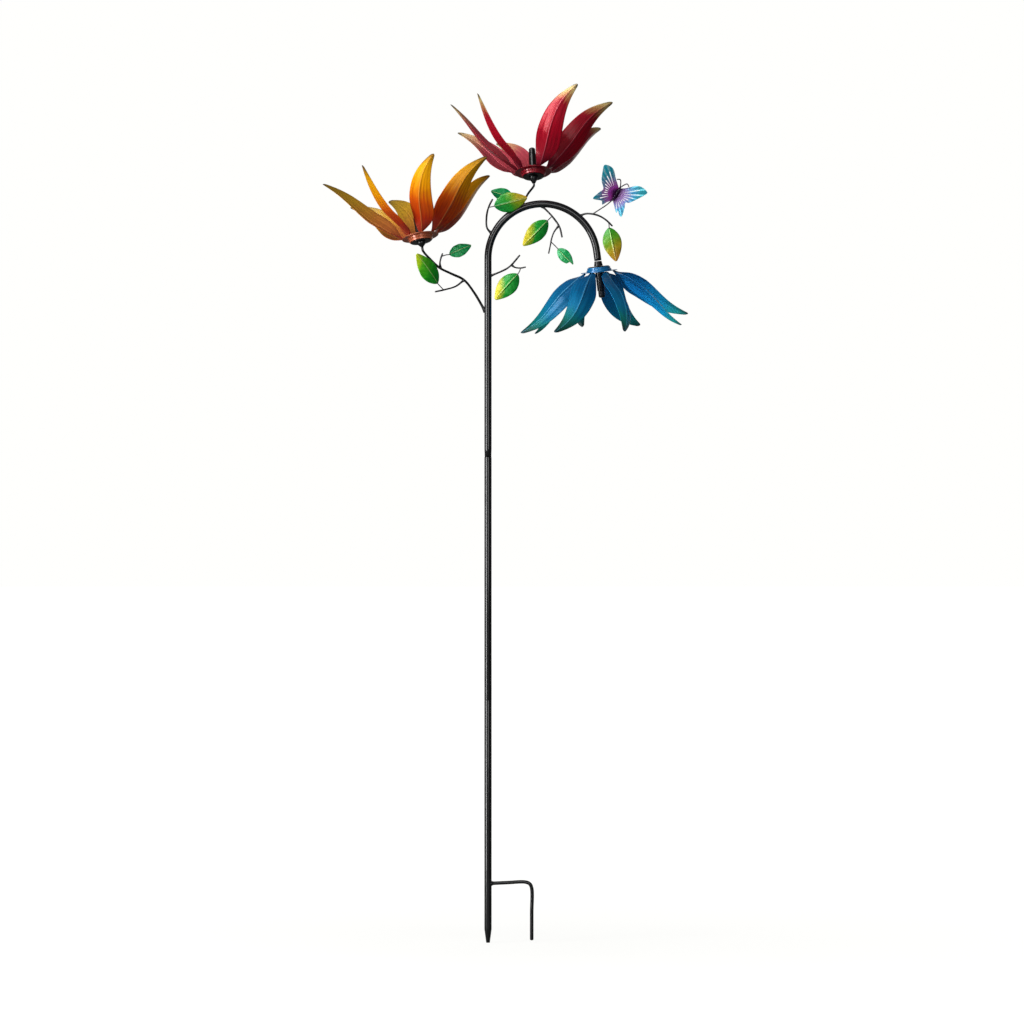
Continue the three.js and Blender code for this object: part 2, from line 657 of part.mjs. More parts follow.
const spinner = new THREE.Group();
spinner.add(piece("lower_stake", lowerStake(), BLACK, BLACK_PAINT));
spinner.add(piece("middle_tube", middleTube(), BLACK, BLACK_PAINT));
spinner.add(piece("crook", crook(), BLACK, BLACK_PAINT));
spinner.add(piece("fork", fork(), BLACK, BLACK_PAINT));
const crookClearance = crookBar(GAP);
for (const name of Object.keys(TWIGS)) {
  spinner.add(piece(name, twigSolid(name, 0).subtract(crookClearance), BLACK, BLACK_PAINT));
}
for (const [name, spec] of Object.entries(LEAVES)) {
  spinner.add(piece(name, leaf(spec), spec.colour, CANDY_PAINT));
}
spinner.add(piece("butterfly_wings", butterflyWings(), WING_BLUE, CANDY_PAINT));
spinner.add(piece("butterfly_body", butterflyBody(), BLACK, BLACK_PAINT));
spinner.add(flower("red", RED));
spinner.add(flower("orange", ORANGE));
spinner.add(flower("blue", BLUE));

export default spinner;
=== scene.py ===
import json
import math

import bmesh
import bpy
import numpy as np
from mathutils import Matrix, Vector
from numpy.linalg import norm


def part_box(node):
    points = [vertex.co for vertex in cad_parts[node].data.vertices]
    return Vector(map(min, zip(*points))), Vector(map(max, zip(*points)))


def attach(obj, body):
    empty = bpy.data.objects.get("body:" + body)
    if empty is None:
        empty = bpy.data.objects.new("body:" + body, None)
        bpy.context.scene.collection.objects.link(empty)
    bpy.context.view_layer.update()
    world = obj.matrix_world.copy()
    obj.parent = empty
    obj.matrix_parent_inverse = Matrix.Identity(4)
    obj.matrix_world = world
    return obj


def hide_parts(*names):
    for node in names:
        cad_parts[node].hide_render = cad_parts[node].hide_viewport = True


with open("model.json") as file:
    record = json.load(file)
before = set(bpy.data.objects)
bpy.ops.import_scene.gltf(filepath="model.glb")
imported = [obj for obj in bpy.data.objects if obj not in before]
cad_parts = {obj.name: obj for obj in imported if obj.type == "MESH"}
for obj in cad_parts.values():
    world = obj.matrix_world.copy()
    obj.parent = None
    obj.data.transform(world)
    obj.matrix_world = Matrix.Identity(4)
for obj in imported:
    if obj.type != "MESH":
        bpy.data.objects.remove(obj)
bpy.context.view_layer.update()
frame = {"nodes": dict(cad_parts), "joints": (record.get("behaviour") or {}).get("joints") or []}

MM = 0.001
GAP = 0.3  # between a piece and its neighbour

# ---- Measures taken from the frame, in millimetres ----


def low(node):
    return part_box(node)[0] / MM


def high(node):
    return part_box(node)[1] / MM


POLE_R = high("middle_tube").x
FOOT_Z = low("lower_stake").z
LOWER_JOINT_Z = low("middle_tube").z - GAP
UPPER_JOINT_Z = low("crook").z - GAP
SPIGOT_LENGTH = high("lower_stake").z - LOWER_JOINT_Z
ARCH_TOP_Z = high("crook").z
FORK_X = high("fork").x
FORK_TOP_Z = high("fork").z
FORK_FOOT_Z = low("fork").z

# ---- Measures repeated from the design, in millimetres ----

STAKE_TAPER = 30
STAKE_TIP_R = 4
SPIGOT_R = 6.6
SOCKET_R = 7.1
SOCKET_SPARE = 2
TUBE_BORE_R = 5.4
ARCH_R = 121
ARCH_SWEEP = 172
ARCH_TAIL = 22
FORK_R = 4
FORK_BEND = 14
FORK_RISE = 3
WELD = 2.2
SHEET = 1

PETAL_COUNT = 8
PETAL_ROOT_R = 35
PETAL_TIP_R = 191
PETAL_TIP_Z = 133
PETAL_HALF_WIDTH = 29
PETAL_WIDEST = 0.33
PETAL_ROOT_WIDTH = 0.17
PETAL_TIP_WIDTH = 0.1
PETAL_TIP_ROUND = 0.03
PETAL_PITCH = 42
PETAL_PITCH_END = 0.2
PETAL_BOW = 6.5
PETAL_FLARE = 9.5
PETAL_FLARE_START = 0.38
PETAL_SWEEP = 24
PETAL_ROOT_SET = 8
PETAL_CUP = 0.36

DISH_R = 41
BOSS_R = 28
BOSS_FOOT_R = 25.5
BOSS_DEPTH = 11
FLANGE_R = 23
FLANGE_Z = -12.6
TUBE_R = 8.5
TUBE_TOP_Z = 42
BORE_R = 3.4
CAP_R = 7.2
CAP_TOP_Z = 57
PIN_R = 3
COLLAR_R = 10
COLLAR_TOP_Z = -13.2
COLLAR_LIP = 4
STEM_GAP = 0.5  # between a stem's end and the collar that it carries
BALL_HOLLOW = (BORE_R, 50.2)  # radius and top of the hollow in a cap that rests on a ball
NUT_HOLLOW = (5.6, 54)  # and in one that goes over a nut

# Each flower's first petal's place and how its petals are bent by hand, in degrees and millimetres
FLOWERS = {
    "red": {"turn": 21, "shift": (-6, -10, 16, 1, 10, 0, 0, -10),
            "lift": (3, 5, -3, 7, 11, 12, 0, 6), "collar": 15, "pin_top": 44},
    "orange": {"turn": 27, "shift": (-4, -1, 3, 14, 15, 1, 0, -5),
               "lift": (-3, -5, 3, 21, -3, 10, 0, -5), "collar": 11, "pin_top": 44},
    "blue": {"turn": 13, "shift": (-3, -5, -2, 2, -1, 7, 1, -3),
             "lift": (-20, -17, -3, 0, -18, 0, -12, -11), "collar": 11, "pin_top": 50},
}
JOINTS = {joint["child"].removesuffix("_rotor"): joint for joint in frame["joints"]}


def flower_matrix(name):
    """Where a flower stands, in metres: at its joint's point, with +Z along the joint's axis."""
    axis = Vector(JOINTS[name]["axis"])
    yaw = Matrix.Rotation(math.atan2(axis.x, axis.z), 4, "Y")
    tilt = Matrix.Rotation(-math.asin(axis.y), 4, "X")
    return Matrix.Translation(JOINTS[name]["pos_m"]) @ yaw @ tilt


def below_collar(name, drop):
    """The point on a flower's axis that lies drop below its collar's foot."""
    axis = np.array(JOINTS[name]["axis"])
    distance = COLLAR_TOP_Z - FLOWERS[name]["collar"] - drop
    return tuple(np.array(JOINTS[name]["pos_m"]) / MM + axis * distance)


# Bent rods: radius and control points along each rod
TWIGS = {
    "orange_branch": [
        (2.7, [(-6, 0, 1273), (-31, -10, 1315), (-53, -20, 1342), (-82, -33, 1356),
         (-107, -47, 1368), (-130, -66, 1389), below_collar("orange", 8),
         below_collar("orange", STEM_GAP)]),
        (2, [(-53, -20, 1342), (-71, -28, 1328), (-95, -42, 1320), (-116, -50, 1315)]),
        (2, [(-105, -46, 1367), (-106, -46, 1379), (-104, -46, 1389), (-100.5, -46, 1399)]),
    ],
    "red_stem": [
        (2.4, [(74, -2, 1506), (80.5, 9, 1519), (89, 27, 1536), below_collar("red", 5),
         below_collar("red", STEM_GAP)]),
    ],
    "left_twig": [
        (2.2, [(8, 0, 1446), (-2, -3, 1458), (-3.5, -5, 1478), (-1, -7, 1496), (4.5, -9, 1511),
         (10, -10, 1521)]),
    ],
    "right_twig": [
        (2.2, [(5, 0, 1352), (18, -3, 1357), (31, -6, 1362.5), (42, -8, 1368), (52, -9, 1376),
         (70, -10, 1397)]),
        (1.8, [(52, -9, 1376), (60, -10, 1370.5), (72, -11, 1369), (83, -12, 1371)]),
    ],
    "arch_inner_twig": [
        (2.2, [(120, 0, 1506), (128, -3, 1499), (142, -6, 1484), (156, -8, 1465), (160, -9, 1456),
         (164, -10, 1438)]),
        (1.8, [(157, -8, 1463), (146.5, -8, 1449), (141, -8, 1434), (138.5, -8, 1421),
         (134.5, -8, 1402)]),
    ],
    "arch_right_twig": [
        (2.2, [(204, 0, 1485), (215, -2, 1489.5), (232, -6, 1489), (248, -9, 1484),
         (262, -12, 1475), (275, -14, 1462.5)]),
    ],
}

# Leaves: base and tip of the blade, its width, its tilt in degrees, its wire and its paint
LEAVES = {
    "leaf_orange_large": ((-111, -58, 1333), (-157, -93, 1397), 40, 12,
        [(-98.5, -43.5, 1320), (-105, -50, 1326.5)], "lime"),
    "leaf_orange_small": ((-85, -42, 1397.5), (-37, -34, 1418.5), 29, -15,
        [(-102.5, -46.5, 1393), (-93, -44, 1396.5)], "emerald"),
    "leaf_left_large": ((14, -13, 1506), (87, -22, 1524.5), 43, 8,
        [(1.5, -8.5, 1503.5), (7, -11, 1504.5)], "olive"),
    "leaf_red_small": ((55, 5, 1525.5), (6.5, 2, 1540.5), 29, -10,
        [(80.5, 9, 1520), (67, 7, 1521.5)], "emerald"),
    "leaf_right_large": ((66, -14, 1355.5), (15.5, -22, 1298.5), 42, 5,
        [(72, -11, 1369), (70, -12, 1362)], "lemon"),
    "leaf_arch_large": ((132, -12, 1474), (77.5, -20, 1418), 39, -5,
        [(142, -6, 1484), (137, -9, 1479)], "lemon"),
    "leaf_arch_small": ((155, -11, 1411.5), (188.5, -18, 1376), 26, 10,
        [(139.5, -8, 1427), (148, -9, 1419)], "emerald"),
    "leaf_outer_large": ((268.5, -17, 1458), (284, -26, 1383), 41, 0,
        [(266, -12.5, 1472), (268, -15, 1465)], "amber"),
}
SPLIT_LEAF = "leaf_arch_small"  # its tip is cut away on one side
LEAF_WIRE_R = 1.1
LEAF_FOLD = 0.28
LEAF_ARCH = 0.07
LEAF_THICKNESS = 0.9
VEIN_SLANT = 0.16
VEIN_RATE = 46

# Butterfly: outlines in the XZ plane from the body's middle
BUTTERFLY_AT = (284, -20, 1532.5)
BUTTERFLY_LEAN = 32
WING_FOLD = {"left": 1.15, "right": 0.6}
LEFT_WING = [(6, 8), (-1, 32), (-6, 51), (-14, 59), (-27, 61), (-31, 46), (-33, 28), (-29, 10),
             (-38, 2), (-52, -12), (-33, -16), (-31, -24), (-20, -18), (-4, -11)]
RIGHT_WING = [(3, 10), (22, 12.5), (45, 17), (58, 13), (68, 3), (65, -2), (47, -12), (29, -20),
              (20, -20), (18, -32), (12, -50), (7, -48), (3.5, -37), (0, -42), (-4, -28), (-7, -9)]
LEFT_SLOTS = {"from": 108, "to": 196, "inner": 19, "outer": (50, 43, 37, 32, 28, 26, 27, 32, 38)}
RIGHT_SLOTS = {"from": 8, "to": -90, "inner": 17, "outer": (52, 52, 39, 31, 24, 21, 23, 30, 33)}
SLOT_NARROW = 0.35  # half widths of a slot at its two ends
SLOT_WIDE = 1.1
BODY_LENGTH = 38
BODY_R = 3
BODY_FORWARD = 6.5
FEELER_R = 1.25
# Points along a feeler: past the head, outwards and forward
FEELER = ((-3, 0, 0), (6, 4, 2), (12, 9, 5), (9, 15, 9))
BUTTERFLY_WIRE_R = 1.2 * LEAF_WIRE_R
BUTTERFLY_WIRE = [(232, -6, 1489), (248, -13, 1499), (262, -20, 1508)]

# ---- Mesh tools ----

JOIN_DISTANCE = 0.000001  # metres within which two points of a piece become one
AXIS_JOIN_DISTANCE = 0.00002  # the same for a turned piece, whose axis holds many points
CROWDING = 1.35  # how much a sheet's rows crowd to its tip, and its columns to its midrib
EDGE_ROLL = 0.4  # how far a sheet's rolled edge stands out, in thicknesses
LEAF_GRID = (44, 21)
PETAL_GRID = (71, 31)


def new_object(name, data):
    made = bpy.data.objects.new(name, data)
    bpy.context.scene.collection.objects.link(made)
    return made


def make_object(name, points, faces, values=None, matrix=None):
    """A smooth-shaded mesh object from points in millimetres, with named numbers for each point."""
    placed = np.array(points, float) * MM
    if matrix is not None:
        turn = np.array(matrix.to_3x3())
        placed = placed @ turn.T + np.array(matrix.translation)
    mesh = bpy.data.meshes.new(name)
    mesh.from_pydata(placed.tolist(), [], faces)
    mesh.validate()
    for key, numbers in (values or {}).items():
        layer = mesh.attributes.new(key, "FLOAT", "POINT")
        layer.data.foreach_set("value", np.asarray(numbers, np.float32))
    mesh.polygons.foreach_set("use_smooth", [True] * len(mesh.polygons))
    return new_object(name, mesh)


def grid_faces(rows, columns, wrap_rows=False, wrap_columns=False, flip=False, first=0):
    """Four-sided faces of a grid of points that are stored row by row."""
    faces = []
    for i in range(rows if wrap_rows else rows - 1):
        for j in range(columns if wrap_columns else columns - 1):
            here, there = first + i * columns, first + (i + 1) % rows * columns
            beside = (j + 1) % columns
            a, b, c, d = here + j, here + beside, there + beside, there + j
            faces.append((a, d, c, b) if flip else (a, b, c, d))
    return faces


def rounded(profile, radius, closed):
    """A profile with its corners turned into short arcs of about that radius."""
    steps = 4
    points = [np.array(p, float) for p in profile]
    count = len(points)
    made = []
    for i, corner in enumerate(points):
        if not closed and i in (0, count - 1):
            made.append(corner)
            continue
        before, after = points[i - 1], points[(i + 1) % count]
        back, ahead = before - corner, after - corner
        reach = min(radius, 0.45 * norm(back), 0.45 * norm(ahead))
        start = corner + back / norm(back) * reach
        end = corner + ahead / norm(ahead) * reach
        for k in range(steps + 1):
            s = k / steps
            made.append((1 - s) ** 2 * start + 2 * s * (1 - s) * corner + s * s * end)
    return made


def turned(name, profile, corner=0.0, matrix=None, sides=48, closed=False):
    """A piece turned about Z, from (radius, z) points that end on the axis or form a loop.

    corner is the radius that its corners are rounded to.
    """
    rings = np.array(rounded(profile, corner, closed) if corner else profile)
    angles = np.arange(sides) * 2 * math.pi / sides
    points = np.stack([
        np.outer(rings[:, 0], np.cos(angles)),
        np.outer(rings[:, 0], np.sin(angles)),
        np.repeat(rings[:, 1:2], sides, axis=1),
    ], axis=2).reshape(-1, 3)
    faces = grid_faces(len(rings), sides, wrap_rows=closed, wrap_columns=True)
    return merge_close(make_object(name, points, faces, matrix=matrix), AXIS_JOIN_DISTANCE)


def merge_close(piece, distance=JOIN_DISTANCE):
    """Joins points that lie in one place."""
    work = bmesh.new()
    work.from_mesh(piece.data)
    bmesh.ops.remove_doubles(work, verts=work.verts, dist=distance)
    bmesh.ops.recalc_face_normals(work, faces=work.faces)
    work.to_mesh(piece.data)
    work.free()
    return piece


def smooth_path(points, steps_each=8):
    """A centripetal Catmull-Rom curve through the points."""
    p = [np.array(point, float) for point in points]
    p = [2 * p[0] - p[1], *p, 2 * p[-1] - p[-2]]
    made = []
    for i in range(1, len(p) - 2):
        four = p[i - 1:i + 3]
        gaps = [math.sqrt(norm(b - a)) for a, b in zip(four, four[1:])]
        k = np.cumsum([0, *gaps])
        for t in np.linspace(k[1], k[2], steps_each, endpoint=False):
            first = [((k[j + 1] - t) * four[j] + (t - k[j]) * four[j + 1]) / (k[j + 1] - k[j])
                     for j in range(3)]
            second = [((k[j + 2] - t) * first[j] + (t - k[j]) * first[j + 1]) / (k[j + 2] - k[j])
                      for j in range(2)]
            made.append(((k[2] - t) * second[0] + (t - k[1]) * second[1]) / (k[2] - k[1]))
    made.append(p[-2])
    return made


def ring_frames(path):
    """Two directions across the path at each of its points, which turn as little as they can."""
    line = np.array(path)
    along = np.gradient(line, axis=0)
    along /= norm(along, axis=1)[:, None]
    side = np.cross(along[0], (0.0, 1.0, 0.0))
    if norm(side) < 0.1:
        side = np.cross(along[0], (1.0, 0.0, 0.0))
    sides = []
    for direction in along:
        side = side - direction * (side @ direction)
        side = side / norm(side)
        sides.append(side)
    return along, np.array(sides), np.cross(along, sides)


def rod_mesh(path, radii, sides=16, dome_start=0.0, dome_end=0.0):
    """Points and faces of a round rod. A dome is how far its end's rounding reaches, in radii."""
    line = [np.array(point, float) for point in path]
    radii = list(np.broadcast_to(radii, len(line)))
    along, _, _ = ring_frames(line)
    dome_steps = 5
    for end, reach, tip in ((0, dome_start, -along[0]), (-1, dome_end, along[-1])):
        rings = []
        for k in range(1, dome_steps + 1):
            angle = math.pi / 2 * k / dome_steps
            point = line[end] + tip * radii[end] * max(reach, 0.02) * math.sin(angle)
            rings.append((point, max(radii[end] * math.cos(angle), 0.01)))
        if end == 0:
            line = [p for p, _ in reversed(rings)] + line
            radii = [r for _, r in reversed(rings)] + radii
        else:
            line = line + [p for p, _ in rings]
            radii = radii + [r for _, r in rings]
    _, right, up = ring_frames(line)
    angles = np.arange(sides) * 2 * math.pi / sides
    points = []
    for centre, radius, x, y in zip(line, radii, right, up):
        points.extend(centre + radius * (np.cos(a) * x + np.sin(a) * y) for a in angles)
    faces = grid_faces(len(line), sides, wrap_columns=True)
    last = (len(line) - 1) * sides
    faces.append(tuple(range(sides))[::-1])
    faces.append(tuple(range(last, last + sides)))
    return points, faces


def rods(name, parts):
    """One object made of several rods' points and faces."""
    points, faces = [], []
    for part_points, part_faces in parts:
        first = len(points)
        points.extend(part_points)
        faces.extend(tuple(k + first for k in face) for face in part_faces)
    return merge_close(make_object(name, points, faces))


def unit(vectors):
    """Vectors made 1 long."""
    return vectors / np.maximum(norm(vectors, axis=2, keepdims=True), 1e-9)


def ridge(value, centre, width):
    """A smooth ridge, 1 high, where the value passes its centre."""
    return np.exp(-((value - centre) / width) ** 2)


def sheet_mesh(surface, rows, columns, thickness):
    """Points, faces and values of a pressed sheet with rolled edges over surface(t, q).

    t runs from 0 at its root to 1 at its tip, and q from -1 to 1 across it.
    """
    places = 1 - (1 - np.linspace(0, 1, rows)) ** CROWDING
    strips = np.linspace(-1, 1, columns)
    strips = np.sign(strips) * np.abs(strips) ** CROWDING
    t, q = np.meshgrid(places, strips, indexing="ij")
    small = 1e-3
    ahead = surface(np.minimum(t + small, 1), q) - surface(np.maximum(t - small, 0), q)
    across = surface(t, np.minimum(q + small, 1)) - surface(t, np.maximum(q - small, -1))
    normal = unit(np.cross(ahead, across))
    middle = surface(t, q)
    front = middle + normal * thickness / 2
    back = middle - normal * thickness / 2
    loop = edge_loop(rows, columns)
    out = np.zeros((rows, columns, 3))
    out[:, 0] -= across[:, 0]
    out[:, -1] += across[:, -1]
    out[0] -= ahead[0]
    out[-1] += ahead[-1]
    out = unit(out)
    edge = tuple(np.array(loop).T)
    rim = middle[edge] + out[edge] * thickness * EDGE_ROLL
    points = np.concatenate([front.reshape(-1, 3), back.reshape(-1, 3), rim])
    size = rows * columns
    faces = grid_faces(rows, columns, flip=True)
    faces += grid_faces(rows, columns, first=size)
    for k, (i, j) in enumerate(loop):
        i2, j2 = loop[(k + 1) % len(loop)]
        here, there = i * columns + j, i2 * columns + j2
        rim_here, rim_there = 2 * size + k, 2 * size + (k + 1) % len(loop)
        faces.append((here, there, rim_there, rim_here))
        faces.append((rim_here, rim_there, size + there, size + here))
    values = {
        "along": np.concatenate([t.ravel(), t.ravel(), t[edge]]),
        "across": np.concatenate([q.ravel(), q.ravel(), q[edge]]),
        "face": np.concatenate([np.ones(size), np.zeros(size), np.full(len(loop), 0.5)]),
    }
    return points, faces, values


def edge_loop(rows, columns):
    """The grid's outer points in order, once round."""
    loop = [(0, j) for j in range(columns)]
    loop += [(i, columns - 1) for i in range(1, rows)]
    loop += [(rows - 1, j) for j in range(columns - 2, -1, -1)]
    loop += [(i, 0) for i in range(rows - 2, 0, -1)]
    return loop


# ---- Material tools ----


def rgb(code):
    """A colour from its hexadecimal code, as the renderer's linear numbers."""
    parts = [int(code[i:i + 2], 16) / 255 for i in (0, 2, 4)]
    linear = [c / 12.92 if c <= 0.04045 else ((c + 0.055) / 1.055) ** 2.4 for c in parts]
    return (*linear, 1.0)


def new_material(name, roughness, metallic=0.0, coat=0.0, coat_roughness=0.03, specular=0.5):
    """A material, its node tree and shader with even values set, and its place on the object."""
    material = bpy.data.materials.new(name)
    material.use_nodes = True
    tree = material.node_tree
    tree.nodes.clear()
    shader = add(tree, "BsdfPrincipled", {
        "Roughness": roughness,
        "Metallic": metallic,
        "Specular IOR Level": specular,
        "Coat Weight": coat,
        "Coat Roughness": coat_roughness,
    })
    add(tree, "OutputMaterial", {"Surface": shader.outputs["BSDF"]})
    return material, tree, shader, add(tree, "TexCoord").outputs["Object"]


def link(value, node, key):
    node.id_data.links.new(value, node.inputs[key])


def add(tree, kind, inputs=None, **settings):
    """A node with its settings, and its inputs set to a value or linked to a socket."""
    made = tree.nodes.new("ShaderNode" + kind)
    for key, value in settings.items():
        setattr(made, key, value)
    for key, value in (inputs or {}).items():
        if isinstance(value, bpy.types.NodeSocket):
            link(value, made, key)
        else:
            made.inputs[key].default_value = value
    return made


def maths(tree, operation, a, b=0.0, clamp=False):
    return add(tree, "Math", {0: a, 1: b}, operation=operation, use_clamp=clamp).outputs[0]


def spread(tree, value, low_in, high_in, low_out, high_out):
    """The value moved from one range to another, clamped."""
    inputs = {0: value, 1: low_in, 2: high_in, 3: low_out, 4: high_out}
    return add(tree, "MapRange", inputs).outputs[0]


def vector_maths(tree, operation, *values):
    return add(tree, "VectorMath", dict(enumerate(values)), operation=operation)


def noise(tree, vector, scale, detail):
    inputs = {"Vector": vector, "Scale": scale, "Detail": detail}
    return add(tree, "TexNoise", inputs).outputs["Fac"]


def ramp(tree, factor, stops):
    """A colour along stops of (place, colour code)."""
    made = add(tree, "ValToRGB", {"Fac": factor})
    elements = made.color_ramp.elements
    elements[0].position, elements[1].position = stops[0][0], stops[-1][0]
    elements[0].color, elements[1].color = rgb(stops[0][1]), rgb(stops[-1][1])
    for place, code in stops[1:-1]:
        elements.new(place).color = rgb(code)
    return made.outputs["Color"]


def mixed(tree, factor, a, b, blend="MIX"):
    made = add(tree, "Mix", {0: factor, 6: a, 7: b}, data_type="RGBA", blend_type=blend)
    return made.outputs[2]


def attribute(tree, name):
    return add(tree, "Attribute", attribute_name=name).outputs["Fac"]


# ---- Materials ----

NOISE_RANGE = (0.3, 0.7)  # where most of a noise texture's values lie
WING_REACH = 0.062  # metres from the butterfly's middle over which its paint changes


def tinted(tree, painted, tint):
    """The colour made darker or lighter by a factor."""
    grey = add(tree, "CombineColor", {0: tint, 1: tint, 2: tint}).outputs[0]
    return mixed(tree, 1.0, painted, grey, "MULTIPLY")


def waviness(tree, place, shader, distance=0.0001):
    """The slight unevenness of pressed and painted sheet, which bends its highlights a little."""
    made = add(tree, "Bump", {"Height": noise(tree, place, 32.0, 0.0), "Distance": distance})
    link(made.outputs["Normal"], shader, "Normal")


def candy_paint(name, outside, inside, midrib_highlight_colour):
    """Metallic paint on a petal: it fades along the petal, with soft streaks and a painted
    highlight on the midrib.
    """
    gloss = 0.34
    material, tree, shader, place = new_material(
        name, gloss, metallic=0.15, coat=0.2, coat_roughness=0.2, specular=0.15)
    along, across = attribute(tree, "along"), attribute(tree, "across")
    face = attribute(tree, "face")
    side = maths(tree, "ABSOLUTE", across)
    streak_place = add(tree, "CombineXYZ", {
        0: maths(tree, "MULTIPLY", along, 2.0),
        1: maths(tree, "MULTIPLY", across, 5.0),
        2: face,
    }).outputs[0]
    streak_place = vector_maths(tree, "ADD", streak_place, place).outputs[0]
    streaks = noise(tree, streak_place, 1.6, 3.0)
    clouds = noise(tree, place, 30.0, 2.0)
    edge = maths(tree, "POWER", side, 2.0)
    shifted = maths(tree, "ADD", along, spread(tree, streaks, 0.25, 0.75, -0.06, 0.06))
    shifted = maths(tree, "ADD", shifted, spread(tree, clouds, *NOISE_RANGE, -0.03, 0.03))
    shifted = maths(tree, "ADD", shifted, maths(tree, "MULTIPLY", edge, 0.04), clamp=True)
    painted = mixed(tree, face, ramp(tree, shifted, inside), ramp(tree, shifted, outside))
    # painted highlight: a paler line of the given colour along the midrib's ridge
    painted = mixed(tree, spread(tree, side, 0.0, 0.06, 0.4, 0.0), painted, rgb(midrib_highlight_colour))
    flakes = spread(tree, noise(tree, place, 900.0, 1.0), *NOISE_RANGE, 0.97, 1.03)
    tint = maths(tree, "MULTIPLY", spread(tree, streaks, *NOISE_RANGE, 0.8, 1.12), flakes)
    link(tinted(tree, painted, tint), shader, "Base Color")
    dull = spread(tree, clouds, *NOISE_RANGE, gloss - 0.04, gloss + 0.06)
    dull = maths(tree, "ADD", dull, spread(tree, face, 0.0, 1.0, 0.12, 0.0))
    link(dull, shader, "Roughness")
    waviness(tree, place, shader)
    return material


def dish_paint(name, base, dark):
    """The same metallic paint on a dish, with painted shade in its hollow corners."""
    material, tree, shader, place = new_material(name, 0.3, 0.2, coat=0.5, coat_roughness=0.15)
    # painted shade: the dark colour fills the dish's hollow corners
    corner = add(tree, "NewGeometry").outputs["Pointiness"]
    painted = mixed(tree, spread(tree, corner, 0.44, 0.54, 0.0, 1.0), rgb(dark), rgb(base))
    tint = spread(tree, noise(tree, place, 60.0, 3.0), *NOISE_RANGE, 0.9, 1.08)
    link(tinted(tree, painted, tint), shader, "Base Color")
    waviness(tree, place, shader, 0.00004)
    return material


def black_paint(name, roughness, coat, coat_roughness):
    """Black powder coat: smooth, with slightly duller and greyer patches."""
    material, tree, shader, place = new_material(
        name, roughness, 0.0, coat, coat_roughness, specular=0.3)
    clouds = noise(tree, place, 22.0, 3.0)
    specks = noise(tree, place, 900.0, 1.0)
    painted = ramp(tree, clouds, [(0.3, "08090b"), (0.55, "0c0d10"), (0.75, "131417")])
    painted = mixed(tree, spread(tree, specks, 0.62, 0.75, 0.0, 0.04), painted, rgb("222328"))
    link(painted, shader, "Base Color")
    dull = spread(tree, clouds, *NOISE_RANGE, roughness - 0.03, roughness + 0.05)
    link(dull, shader, "Roughness")
    waviness(tree, place, shader, 0.00002)
    return material


def bare_steel(name):
    """Bright zinc plate with a fine brushed grain."""
    material, tree, shader, place = new_material(name, 0.25, 1.0)
    stretched = add(tree, "Mapping", {"Vector": place, "Scale": (1.0, 1.0, 12.0)}).outputs[0]
    grain = noise(tree, stretched, 500.0, 3.0)
    painted = ramp(tree, grain, [(0.3, "9a9ca0"), (0.7, "c4c6ca")])
    link(painted, shader, "Base Color")
    link(spread(tree, grain, *NOISE_RANGE, 0.18, 0.36), shader, "Roughness")
    return material


def leaf_paint(name, stops, lean=0.1):
    """Gloss enamel on a leaf: it fades to its tip's colour, with faint veins, a painted highlight
    on the midrib and painted shade beside it.
    """
    material, tree, shader, place = new_material(
        name, 0.36, metallic=0.1, coat=0.2, coat_roughness=0.2, specular=0.3)
    along, across = attribute(tree, "along"), attribute(tree, "across")
    side = maths(tree, "ABSOLUTE", across)
    clouds = noise(tree, place, 45.0, 2.0)
    shifted = maths(tree, "ADD", along, spread(tree, clouds, *NOISE_RANGE, -0.08, 0.08))
    shifted = maths(tree, "ADD", shifted, maths(tree, "MULTIPLY", across, lean), clamp=True)
    painted = ramp(tree, shifted, stops)
    slant = maths(tree, "SUBTRACT", along, maths(tree, "MULTIPLY", side, VEIN_SLANT))
    wave = maths(tree, "SINE", maths(tree, "MULTIPLY", slant, VEIN_RATE))
    vein = spread(tree, wave, 0.6, 1.0, 0.0, 0.22)
    painted = mixed(tree, vein, painted, rgb("4f9a4f"), "MULTIPLY")
    # painted shade: a dark line in the groove beside the midrib
    from_groove = maths(tree, "ABSOLUTE", maths(tree, "SUBTRACT", across, 0.09))
    groove_shade = spread(tree, from_groove, 0.0, 0.06, 0.55, 0.0)
    painted = mixed(tree, groove_shade, painted, rgb("0a4a16"), "MULTIPLY")
    # painted highlight: a pale line along the midrib
    from_rib = maths(tree, "ABSOLUTE", maths(tree, "ADD", across, 0.02))
    painted = mixed(tree, spread(tree, from_rib, 0.0, 0.05, 0.6, 0.0), painted, rgb("d8e8a0"))
    tint = spread(tree, noise(tree, place, 160.0, 2.0), *NOISE_RANGE, 0.92, 1.06)
    link(tinted(tree, painted, tint), shader, "Base Color")
    waviness(tree, place, shader, 0.00005)
    return material


